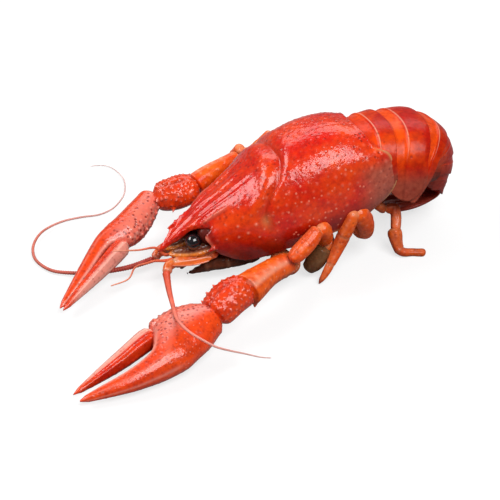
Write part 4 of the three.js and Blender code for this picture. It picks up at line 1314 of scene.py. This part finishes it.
ARMS = {
    "left": dict(
        hip=trunk(31, 7.6, 4.4),
        shoulder=np.array([23.4, 19.2, 7.4]),
        elbow=np.array([38, 27.5, 8.6]),
        wrist=[(37.8, 26.8, 9), (43.2, 29.3, 8.8), (48.2, 31.8, 6.4)],
        arm_corner=((35.2, 27.2, 5.6), (0.35, 0.5, -0.9), 3.6, 1.7),
        wrist_radii=[(0, 4.3), (0.25, 4.7), (0.6, 4.8), (0.85, 4.4), (1, 3.9)],
        arm_radii=[(0, 2.9), (0.5, 3.3), (0.8, 4), (1, 4.4)],
    ),
    "right": dict(
        hip=trunk(31, -7.6, 4),
        shoulder=np.array([22.6, -20.6, 12.4]),
        elbow=np.array([36.4, -16, 10.8]),
        arm_corner=((34.8, -14.6, 8.6), (0.35, 0.5, -0.9), 3, 1.3),
        wrist=[(36.4, -15.9, 10.8), (42.4, -14.4, 10.6), (48, -16, 9.4)],
        wrist_radii=[(0, 3.6), (0.3, 4.6), (0.7, 4.5), (1, 3.4)],
        arm_radii=[(0, 2.9), (0.15, 2.6), (0.4, 2.4), (0.8, 2.9), (1, 2.9)],
    ),
}
# Thorns of a wrist: share of its length, height over its middle as a share of its radius, and length.
WRIST_THORNS = ((0.3, 0.35, 1.6), (0.5, 0.4, 1.7), (0.68, 0.4, 1.7), (0.86, 0.3, 1.9), (0.6, -0.3, 2.6))
ARM_THORNS = ((0.35, 1.0), (0.5, 1.2), (0.64, 1.2), (0.78, 1.6), (0.9, 2.2))  # share and length


def place_on(route, t, across, over):
    """One place of a route."""
    return route.at(np.array([t]), np.array([across]), np.array([over]))[0]


def wrist(side, name):
    """The short joint between a claw's arm and its hand, thorned along its inner edge."""
    given = ARMS[name]
    route = Route(given["wrist"])
    places = []
    for t, over, height in WRIST_THORNS:
        radius = float(through(*given["wrist_radii"])(t))
        at = place_on(route, t, 0.8 * side * radius, over * radius)
        places.append((at, (0.5, -0.9 * side, over), height, 0.8))
    body = limb(route, given["wrist_radii"], 0.88, 80, 80, 0.17)
    mesh = fused("wrist", [body] + [thorn(*place) for place in places], CLAW_VOXEL)
    points = coordinates(mesh)
    t, across, over = route.of(points)
    middle = (t > 0.08) & (t < 0.93)
    rises, tips = tubercles(points, middle, 1.2, 41, 0.34, 0.26)
    groove = bell(across - side * 0.8, 0.5) * smooth(over, 0, 1.5) * smooth(t, 0.15, 0.4)
    emboss(mesh, rises * smooth(over, -2.5, 0) - 0.35 * groove)
    store(
        mesh,
        # Tubercle tips and thorn tips are pale; the tips only on the upper side, partly painted highlight.
        tip=0.38 * tips**2.5 * smooth(over, -2, 1) + 0.3 * thorn_tips(points, places, 0.6),
        patch=0.35 + 0.4 * smooth(-over, -1, 2),
        # Painted shade: darker in the groove, underneath and round the tubercles, and duller underneath
        # towards the hand.
        deep=0.4 * groove + 0.35 * smooth(-over, 1, 3) + 0.3 * bell(tips - 0.25, 0.2),
        dull=0.5 * smooth(t, 0.8, 0.95) * smooth(-over, -1, 2),
        joint=0.3 * (1 - smooth(t, 0.02, 0.05)) + 0.4 * smooth(t, 0.96, 0.99),
    )
    finish(f"claw_{name}.wrist", mesh, claw_shell, [f"claw_{name}_wrist"])


def arm_routes(given):
    """An arm's way to its shoulder and on to its elbow, and the direction of the second."""
    hip, shoulder, elbow = given["hip"], given["shoulder"], given["elbow"]
    bend = shoulder * 0.75 + hip * 0.25 + (-0.6, 0, -1.2)
    forwards = unit(elbow - shoulder)
    second = Route([shoulder, (shoulder + elbow) / 2 + (0, 0, 0.9), elbow + 0.7 * forwards])
    return Route([hip, bend, shoulder]), second, forwards


def arm(side, name):
    """A claw's arm, from where it leaves the body to its elbow, with the large thorn at its lower corner."""
    given = ARMS[name]
    radii = given["arm_radii"]
    radius = through(*radii)
    first, second, forwards = arm_routes(given)
    places = []
    for t, height in ARM_THORNS:
        at = place_on(second, t, -0.35 * side * radius(t), 0.75 * radius(t))
        places.append((at, forwards + (0, 0, 0.8), height, 0.55))
    places.append(given["arm_corner"])
    pieces = [limb(first, [(0, 2.6), (1, radii[0][1])], 1, 48, 40), limb(second, radii, 1, 80, 90, 0.08)]
    mesh = fused("arm", pieces + [thorn(*place) for place in places], CLAW_VOXEL)
    points = coordinates(mesh)
    t, across, over = second.of(points)
    on_merus = smooth(t, 0.02, 0.1)
    rises, tips = tubercles(points, t > 0.1, 2.2, 43, 0.4, 0.12)
    slit = bell(t - 0.97, 0.018) * on_merus
    emboss(mesh, rises * on_merus - 0.3 * slit)
    keel = bell(over - 0.75 * radius(t), 0.5) * smooth(side * -across, -0.2, 0.6) * on_merus
    store(
        mesh,
        # The tubercle and thorn tips are pale; the keel along the top is paled as a painted highlight.
        tip=0.4 * tips**2 * on_merus + 0.5 * keel + 0.4 * thorn_tips(points, places, 0.6),
        patch=0.5 if side > 0 else 0.1,
        # Painted shade: darker underneath, and duller underneath towards the body.
        deep=0.25 * smooth(-over, 0.5, 2.5) + 0.2 * slit,
        dull=0.35 * smooth(-over, -0.6, 1.6) * (1 - smooth(t, 0.5, 0.8)),
        joint=0.5 * bell(t - 0.02, 0.03) * smooth(over, -2, 0),
    )
    finish(f"claw_{name}.arm", mesh, leg_shell, [f"claw_{name}_arm"])


def claws():
    """Both claws, from arm to fingers."""
    for side, name in SIDES:
        arm(side, name)
        wrist(side, name)
        for part in ("hand", "finger"):
            claw_part(LEFT_CLAW if side > 0 else RIGHT_CLAW, part, name, -side)


# ---------- walking legs
# Each has its points from the body outwards: hip, low bend and knee, then the points of its lower stretch,
# with its radii and its joints as (share of length, width of the neck).
# dull: how far a leg is darkened towards the leg shell's olive grey, painted shade under the body.
FAR_JOINTS = [(0.3, 0.03), (0.75, 0.03)]
LEGS = [
    dict(
        name="left_1",
        upper=[trunk(22, 8.6, 4.6), (12.4, 16.2, 9.4), (13.6, 18.2, 13.6), (15.4, 19.4, 16.8)],
        lower=[(15.8, 19.8, 16.6), (19.4, 21.2, 13.8), (24.4, 22.9, 11)],
        radius=2.0,
        radii=[(0, 1.7), (0.4, 2.2), (0.8, 2.1), (1, 1.5)],
        joints=[],
    ),
    dict(
        name="left_2",
        upper=[trunk(17, 8.6, 4.4), (11.2, 14.8, 6.6), (12.6, 16.9, 8.6)],
        lower=[(13.2, 17.2, 8.2), (15.2, 17.4, 5), (17.8, 17, 2)],
        radius=2,
        radii=[(0, 2.1), (0.6, 2.5), (1, 1.6)],
        joints=[],
        # Painted shade: this leg, deep under the body, is darkened almost wholly to olive grey.
        dull=0.9,
    ),
    dict(
        name="left_3",
        upper=[trunk(9, 8.6, 4.4), (0.3, 12.9, 5.9), (1.6, 15.6, 11.6), (4.9, 17.4, 17.9)],
        lower=[(5.4, 17.7, 18.2), (7.6, 18.3, 13.2), (10, 18.6, 7.8), (14, 21, 3), (16.2, 21.6, 0.3)],
        radius=2.5,
        radii=[(0, 1.8), (0.3, 1.8), (0.6, 1.4), (0.85, 0.9), (1, 0.35)],
        joints=[(0.34, 0.02), (0.74, 0.02)],
    ),
    dict(
        name="left_4",
        upper=[trunk(1.6, 6.8, 4.4), (-6.6, 9.6, 9.6), (-9.2, 10.6, 9.4), (-7.6, 15.1, 5.6)],
        lower=[(-7.4, 14, 6.8), (-7.9, 17.5, 1.9), (-11.6, 18.6, 0.9), (-14.4, 19.6, 0.8)],
        radius=1.4,
        radii=[(0, 1.5), (0.13, 1.9), (0.35, 1.5), (0.7, 1.1), (1, 1.15)],
        joints=[(0.45, 0.02)],
        # Painted shade: darkened a little towards olive grey.
        dull=0.25,
    ),
    dict(
        name="right_1",
        upper=[trunk(23, -8.6, 3.2), (15, -14.4, 2.6), (16, -20.6, 7), (19.2, -25.9, 12)],
        lower=[(19.6, -26.6, 11.8), (21.6, -29.2, 7), (24, -31.6, 0.4)],
        radius=1.6,
        radii=[(0, 1.7), (0.3, 1.5), (0.8, 1), (1, 0.4)],
        joints=FAR_JOINTS,
    ),
    dict(
        name="right_2",
        upper=[trunk(17, -8.6, 3), (7.6, -14.6, 2.6), (7, -21.6, 7.4), (9.4, -28.2, 13)],
        lower=[(9.9, -28.8, 12.8), (15, -30, 8), (20.4, -35, 0.4)],
        radius=1.6,
        radii=[(0, 1.7), (0.3, 1.5), (0.8, 1), (1, 0.4)],
        joints=FAR_JOINTS,
    ),
    dict(
        name="right_3",
        upper=[trunk(10, -8.6, 3), (-0.6, -14, 2.8), (-2.4, -20, 6.6), (-2.6, -25.6, 10.4)],
        lower=[(-2.6, -26.2, 10.2), (-2.2, -30.4, 6), (-3, -34.4, 0.4)],
        radius=1.6,
        radii=[(0, 1.6), (0.3, 1.4), (0.8, 0.9), (1, 0.4)],
        joints=FAR_JOINTS,
    ),
    dict(
        name="right_4",
        upper=[trunk(3.4, -7.6, 3.4), (-6, -12.4, 3.4), (-9, -17.6, 5.6), (-11.4, -22, 8.2)],
        lower=[(-11.6, -22.5, 8), (-14.6, -25.6, 4.6), (-18.6, -28, 0.4)],
        radius=1.4,
        radii=[(0, 1.4), (0.3, 1.2), (0.8, 0.8), (1, 0.4)],
        joints=FAR_JOINTS,
    ),
]
POINTED = 0.6  # a leg whose last radius is smaller ends in a dark point


def leg_upper(leg):
    """A leg's stretch from its hip over the low bend to its knee."""
    hip, bend, *rest = leg["upper"]
    r, dull = leg["radius"], leg.get("dull", 0)
    first, second = Route([hip, bend]), Route([bend] + rest)
    radii = [(0, 0.9 * r), (0.6, r), (0.9, 0.92 * r), (1, 0.8 * r)]
    pieces = [limb(first, [(0, 0.9 * r), (1, 0.9 * r)], 1, 30, 30, 0.2), limb(second, radii, 1, 36, 60, 0.15)]
    mesh = fused("leg", pieces, LEG_VOXEL)
    points = coordinates(mesh)
    t, _, over = second.of(points)
    rises, tips = tubercles(points, t >= 0, 1.8, 51, 0.35, 0.05)
    neck = bell(t - 0.03, 0.03)
    keel = bell(over - 0.85 * through(*radii)(t), 0.3) * smooth(t, 0.05, 0.15) * (1 - smooth(t, 0.85, 0.95))
    emboss(mesh, rises - 0.15 * neck * (t > 0.005) + 0.22 * keel)
    store(
        mesh,
        # The tubercle tips are pale; the keel along the top is paled as a painted highlight.
        tip=0.25 * tips + 0.15 * keel,
        patch=0.45,
        joint=0.4 * smooth(t, 0.95, 0.99) + 0.2 * neck,
        # Painted shade: darker towards the hip under the body, and by the leg's dull.
        dull=0.3 * dull + 0.25 * (1 - smooth(t, 0, 0.3)),
    )
    finish(f"leg_{leg['name']}.upper", mesh, leg_shell, [f"leg_{leg['name']}_upper"])


def leg_lower(leg):
    """A leg's stretch from its knee to the ground."""
    radii, dull = leg["radii"], leg.get("dull", 0)
    mesh, t, _, over = drawn(Route(leg["lower"]), radii, 1, 40, 160, 0.08)
    necks = sum((bell(t - place, width) for place, width in leg["joints"]), 0 * t)
    rises, tips = tubercles(coordinates(mesh), t >= 0, 1.5, 53, 0.3, 0.05)
    keel = bell(over - 0.85 * through(*radii)(t), 0.25) * smooth(t, 0.04, 0.12)
    emboss(mesh, (rises - 0.1 * necks + 0.16 * keel) * smooth(1 - t, 0, 0.06))
    point = smooth(t, 0.88, 1) * (radii[-1][1] < POINTED)
    knee = 1 - smooth(t, 0.02, 0.08)
    store(
        mesh,
        # The tubercle tips are pale; the keel along the top is paled as a painted highlight.
        tip=(0.25 * tips + 0.12 * keel) * (1 - dull),
        patch=0.4,
        joint=(0.2 * necks + 0.35 * knee) * (1 - dull),
        deep=0.7 * point + 0.3 * necks,
        # Painted shade: the leg's dull darkens it towards olive grey.
        dull=dull,
        pitted=0.4,
    )
    finish(f"leg_{leg['name']}.lower", mesh, leg_shell, [f"leg_{leg['name']}_lower"])


def legs():
    """The eight walking legs."""
    for leg in LEGS:
        leg_upper(leg)
        leg_lower(leg)


# ---------- head
EYE = (49.1, 4.6, 16.05)
EYE_RADIUS = 2.05
ANTENNA_ELBOW = {"left": (51.6, 10, 7.6), "right": (51.4, 1.4, 5.4)}
ANTENNA_ROOT = {"left": (53.6, 12.8, 7.2), "right": (54, 2.4, 4.2)}
ANTENNA_RADIUS = 1.12
ANTENNA_TIP = 0.14
ANTENNA_TAPER = {"left": 0.4, "right": 0.3}
ANTENNA_SKIN = {"left": (strand_red, "strand_red"), "right": (strand_dark, "strand_pale")}
ANTENNA_ROUTES = {
    "left": [
        (53.5, 11.9, 7.1), (55, 18.8, 7.2), (56.5, 26.5, 8.8), (57.9, 33.7, 10.9), (58, 38.1, 12.1),
        (57.1, 42.1, 12.6), (55, 45.3, 12.2), (52.4, 46.7, 10.6), (48.8, 46.3, 8), (44.6, 45.4, 5),
        (40.7, 45.2, 2.6), (37.5, 44.8, 1),
    ],
    "right": [
        (53.2, 2.2, 4.2), (60, 2.6, 3.6), (65.5, 1.7, 3), (68.2, -0.1, 1.7), (73.3, -2.8, 1.1),
        (78.5, -5.8, 1.1), (81.2, -10.9, 1.1), (80.9, -16.1, 1), (78.7, -20.5, 1), (75.5, -23.4, 1),
        (70.5, -25.3, 0.9), (65.3, -25.4, 0.9), (60.5, -25, 0.8), (56.5, -26.3, 0.8), (53.1, -29.4, 0.8),
        (50.9, -33.1, 0.7), (49.7, -38.3, 0.7), (50.5, -43, 0.7), (52.2, -46.1, 0.6), (54.7, -47.3, 0.6),
        (56.9, -47.4, 0.6),
    ],
}
ANTENNULE_ROUTES = {
    "left": [
        trunk(51, 1.9, 12.6), trunk(56, 2.4, 13), (55.4, 8.4, 8.5), (57.2, 8, 8),
        (59.9, 6.4, 6.2), (62.3, 7.9, 4.2), (66.9, 7.6, 3),
    ],
    "right": [trunk(51, -1.9, 12.6), trunk(56, -0.6, 13), (54, 5, 9.8), (59, 5.8, 11), (65.2, 5, 11.8)],
}


def strand(points, thick, thin, rings, taper=0.5):
    """A whip of many short rings, tapering to its end; it keeps its share of length as the mask 'along'."""
    route = Route(points, count=600)

    def form(turn, along):
        radius = thick + (thin - thick) * along**taper
        ends = np.minimum(1, np.minimum(along, 1 - along) * 80)
        radius = radius * (1 + 0.08 * np.cos(2 * math.pi * rings * along)) * ends
        angle = 2 * math.pi * turn
        return route.at(along, radius * np.cos(angle), radius * np.sin(angle))

    rows = 6 * rings
    mesh = globe("strand", 12, rows, form)
    turn, along = net(12, rows)
    store(mesh, along=along, ring=0.5 + 0.5 * np.cos(2 * math.pi * rings * along))
    return mesh


def on_side(side, *places):
    """A route through places of the trunk's frame, given for the left side."""
    return Route([trunk(x, side * y, z) for x, y, z in places])


def eye(side, name):
    """An eye's black ball."""
    x, y, z = EYE
    bm = bmesh.new()
    bmesh.ops.create_uvsphere(bm, u_segments=64, v_segments=40, radius=EYE_RADIUS)
    bmesh.ops.translate(bm, verts=bm.verts, vec=Vector(trunk(x, side * y, z)))
    finish(f"head.eye_{name}", mesh_of(bm, "eye"), eye_black, [f"eye_{name}"])


def eye_stalk(side, name):
    """The stalk that carries an eye, painted dark maroon as the shade in the eye's socket."""
    route = on_side(side, (41, 3.4, 16.4), (45, 3.9, 16.2), (47.4, 3.8, 16))
    mesh = limb(route, [(0, 2.6), (0.6, 2.6), (1, 2)], 1, 48, 48, 0.2)
    # Painted shade: the stalk is almost all deep maroon.
    store(mesh, deep=0.95)
    finish(f"head.eye_stalk_{name}", mesh, shaded_underside_shell)


def face(side, name):
    """The beaded shelf under an eye, with painted shade along its upper edge under the rostrum."""
    route = on_side(side, (43.4, 4.4, 12.6), (49.5, 3.7, 13), (55.6, 1.5, 14))
    mesh, t, _, over = drawn(route, [(0, 2), (0.4, 2.1), (0.8, 1.5), (1, 0.8)], 1, 48, 60, 0.14)
    ledge = bell(over - 0.9, 0.3) * smooth(t, 0.1, 0.2)
    rises, tips = tubercles(coordinates(mesh), t > 0.05, 0.95, 63, 0.4, 0.16)
    emboss(mesh, 0.25 * ledge - 0.2 * bell(over - 0.2, 0.25) + rises)
    # Painted shade: dark along the upper edge under the rostrum, a little darker between the tubercles below.
    deep = 0.95 * smooth(over, 0.5, 1.1) + 0.15 * (1 - tips) * (over < 0.5)
    store(mesh, patch=0.8, deep=deep, tip=0.12 * ledge + 0.15 * tips)
    finish(f"head.face_{name}", mesh, face_shell)


def antennal_scale(side, name):
    """The flat pointed scale beside an antenna's base, with a pale rib and edge."""
    route = on_side(side, (46.6, 7.4, 11.3), (51.5, 6.8, 12.2), (57.8, 4.4, 13.6))
    radii = [(0, 1.1), (0.4, 1.4), (0.8, 1), (1, 0.35)]
    mesh, t, across, _ = drawn(route, radii, 0.34, 60, 70, 0.15)
    half = through(*radii)(t)
    edge = smooth(np.abs(across) / half, 0.82, 0.97)
    rib = bell(side * across - 0.15 * half, 0.2)
    store(mesh, tip=0.25 * edge + 0.75 * rib, patch=0.3)
    finish(f"head.scale_{name}", mesh, head_shell, [f"antennal_scale_{name}"])


def antenna_base(side, name):
    """The three thick joints that carry a long feeler."""
    root = [trunk(44, side * 4.8, 10.4), trunk(50, side * 4.6, 11.2)]
    route = Route(root + [ANTENNA_ELBOW[name], ANTENNA_ROOT[name]])
    radii = [(0, 1.2), (0.35, 1.25), (0.6, 1.3), (0.8, 1.25), (1, 1.1)]
    mesh, t, *_ = drawn(route, radii, 1, 48, 90, 0.1)
    necks = bell(t - 0.42, 0.025) + bell(t - 0.72, 0.025)
    rims = bell(t - 0.38, 0.02) + bell(t - 0.68, 0.02) + bell(t - 0.95, 0.02)
    rises, tips = tubercles(coordinates(mesh), t > 0.05, 1.1, 65, 0.4, 0.12)
    emboss(mesh, 0.08 * rims - 0.12 * necks + rises)
    store(mesh, joint=0.4 * necks, tip=0.25 * rims + 0.15 * tips, deep=0.3 * necks, patch=0.4)
    finish(f"head.antenna_base_{name}", mesh, head_shell, [f"antenna_base_{name}"])


def maxilliped(side, name):
    """A coarse mouthpart under the head, pointing forwards, painted dark for the shade it lies in."""
    route = on_side(side, (34, 4.6, 5), (40, 4.6, 6.5), (46, 3.8, 7.3), (53.4, 2, 7.1))
    radii = [(0, 2.2), (0.4, 2.2), (0.6, 1.8), (0.8, 1.1), (1, 0.3)]
    mesh, t, *_ = drawn(route, radii, 1, 40, 80, 0.1)
    necks = bell(t - 0.45, 0.02) + bell(t - 0.72, 0.02)
    rises, tips = tubercles(coordinates(mesh), t >= 0, 1.6, 61, 0.7, 0.35)
    emboss(mesh, rises - 0.2 * necks)
    # Painted shade: deep brown except on the tubercle tips.
    store(mesh, dull=0.5, deep=0.8 - 0.4 * tips, joint=0.3 * necks)
    finish(f"head.maxilliped_{name}", mesh, shaded_mouth_shell, [f"maxilliped_{name}"])


def feelers(name):
    """A side's long and short feelers."""
    material, slot = ANTENNA_SKIN[name]
    whip = strand(ANTENNA_ROUTES[name], ANTENNA_RADIUS, ANTENNA_TIP, 150, ANTENNA_TAPER[name])
    finish(f"head.antenna_{name}", whip, material, [f"antenna_{name}"])
    whip = strand(ANTENNULE_ROUTES[name], 0.8, 0.16, 60, 0.35)
    finish(f"head.antennule_{name}", whip, strand_orange, [f"antennule_{name}"])


def head():
    """Everything in front of the carapace, side by side."""
    for side, name in SIDES:
        for part in (eye, eye_stalk, face, antennal_scale, antenna_base, maxilliped):
            part(side, name)
        feelers(name)


# ---------- underside
sternum_half_width = through((2, 5.5), (10, 8.2), (26, 8.2), (37, 4.6))
sternum_roof = through((2, 8.4), (8, 8.3), (14, 9), (22, 9.7), (37, 10))
STERNUM_REAR = 2
STERNUM_LENGTH = 35
STERNUM_FLOOR = 3.2
PLATE_LENGTH = 6.5


def blunted(value):
    """A sine or cosine for a rounded box instead of a circle."""
    return np.sign(value) * np.abs(value) ** 0.6


def sternum_form(turn, along):
    """The rounded keel between the legs."""
    x = STERNUM_REAR + STERNUM_LENGTH * wall_share(along)
    angle = 2 * math.pi * turn
    middle, half = (sternum_roof(x) + STERNUM_FLOOR) / 2, (sternum_roof(x) - STERNUM_FLOOR) / 2
    closing = 1 - np.maximum(*end_faces(along))
    y = sternum_half_width(x) * blunted(np.sin(angle)) * closing
    return trunk(x, y, middle + half * blunted(np.cos(angle)) * closing)


def sternum():
    """The plates between the legs, with the seams across them and along their middle, in the underside's
    painted shade.
    """
    mesh = globe("sternum", 90, 90, sternum_form)
    x, y, z = in_trunk(coordinates(mesh)).T
    plates = np.cos((x - 3) / PLATE_LENGTH * 2 * math.pi)
    emboss(mesh, -0.5 * bell(plates + 1, 0.35) - 0.5 * bell(y, 0.6) * (z < 6))
    # Painted shade: the plates take the underside shell's dark brown.
    store(mesh, dull=0.6, joint=0.4 * bell(plates + 1, 0.5))
    finish("body.sternum", mesh, shaded_underside_shell, ["sternum"])


# ---------- surroundings
# The view: from the animal's left front, 38 degrees above the horizon.
VIEW_TURN = math.radians(20)
VIEW_RISE = math.radians(38)
VIEW_TARGET = np.array([30.6, 10.2, 6.7])
VIEW_DISTANCE = 450.0
PICTURE_WIDTH = 500 / 3.94  # of the plane through the target, in millimetres
SENSOR = 36.0
FLOOR_SIZE = 3  # half its side, and the lights below, in metres
FLOOR_GLOW = 0.72  # how much brighter the floor looks than it is lit
STUDIO_LIGHT = 0.11  # brightness of the studio round the object
# Name, direction from the object, distance, size and power of each light.
SOFTBOXES = (
    ("softbox over the view", (-0.16, 0.5, 0.86), 0.6, (0.4, 0.3), 3.1),
    ("softbox over the head", (0.6, -0.36, 0.7), 0.6, (0.36, 0.24), 2.0),
    ("softbox behind", (-0.3, -0.72, 0.6), 0.7, (0.7, 0.3), 1.6),
)


def camera():
    """The camera, looking at its target from afar."""
    level = math.cos(VIEW_RISE)
    back = np.array([math.sin(VIEW_TURN) * level, math.cos(VIEW_TURN) * level, math.sin(VIEW_RISE)])
    made = bpy.data.objects.new("camera", bpy.data.cameras.new("camera"))
    made.data.sensor_width = SENSOR
    made.data.lens = SENSOR * VIEW_DISTANCE / PICTURE_WIDTH
    made.data.clip_start = 0.01
    made.data.clip_end = 20
    made.location = to_row(VIEW_TARGET + VIEW_DISTANCE * back)
    made.rotation_euler = Vector(back).to_track_quat("Z", "Y").to_euler()
    bpy.context.scene.collection.objects.link(made)
    bpy.context.scene.camera = made


def floor():
    """A pale floor that lights the object like grey paper and looks nearly white."""
    bm = bmesh.new()
    bmesh.ops.create_grid(bm, x_segments=4, y_segments=4, size=FLOOR_SIZE)
    made = bpy.data.objects.new("floor", mesh_of(bm, "floor"))
    bpy.context.scene.collection.objects.link(made)
    material, tree, shader = blank_material("pale floor")
    seen = node(tree, "ShaderNodeLightPath").outputs["Is Camera Ray"]
    glow = math_node(tree, "MULTIPLY", seen, FLOOR_GLOW)
    feed(tree, shader, Base_Color=(0.3, 0.3, 0.3, 1), Roughness=0.9, Specular_IOR_Level=0.0)
    feed(tree, shader, Emission_Color=(1, 1, 1, 1), Emission_Strength=glow)
    made.data.materials.append(material)


def studio():
    """A white background whose light on the object is faint."""
    scene = bpy.context.scene
    scene.world = bpy.data.worlds.new("studio")
    scene.world.use_nodes = True
    tree = scene.world.node_tree
    seen = node(tree, "ShaderNodeLightPath").outputs["Is Camera Ray"]
    strength = ranged(tree, seen, 0.0, 1.0, STUDIO_LIGHT, 1.0)
    feed(tree, tree.nodes["Background"], Color=(1, 1, 1, 1), Strength=strength)
    scene.view_settings.view_transform = "Standard"


def softbox(name, direction, distance, size, power):
    """A rectangular light that faces the object."""
    light = bpy.data.lights.new(name, "AREA")
    light.shape = "RECTANGLE"
    light.size, light.size_y = size
    light.energy = power
    lamp = bpy.data.objects.new(name, light)
    lamp.location = Vector(direction).normalized() * distance
    lamp.rotation_euler = Vector(direction).to_track_quat("Z", "Y").to_euler()
    bpy.context.scene.collection.objects.link(lamp)


def surroundings():
    """Camera, floor, background and lights."""
    camera()
    floor()
    studio()
    for light in SOFTBOXES:
        softbox(*light)


carapace()
abdomen()
abdomen_belly()
tail_fan()
claws()
legs()
head()
sternum()
surroundings()
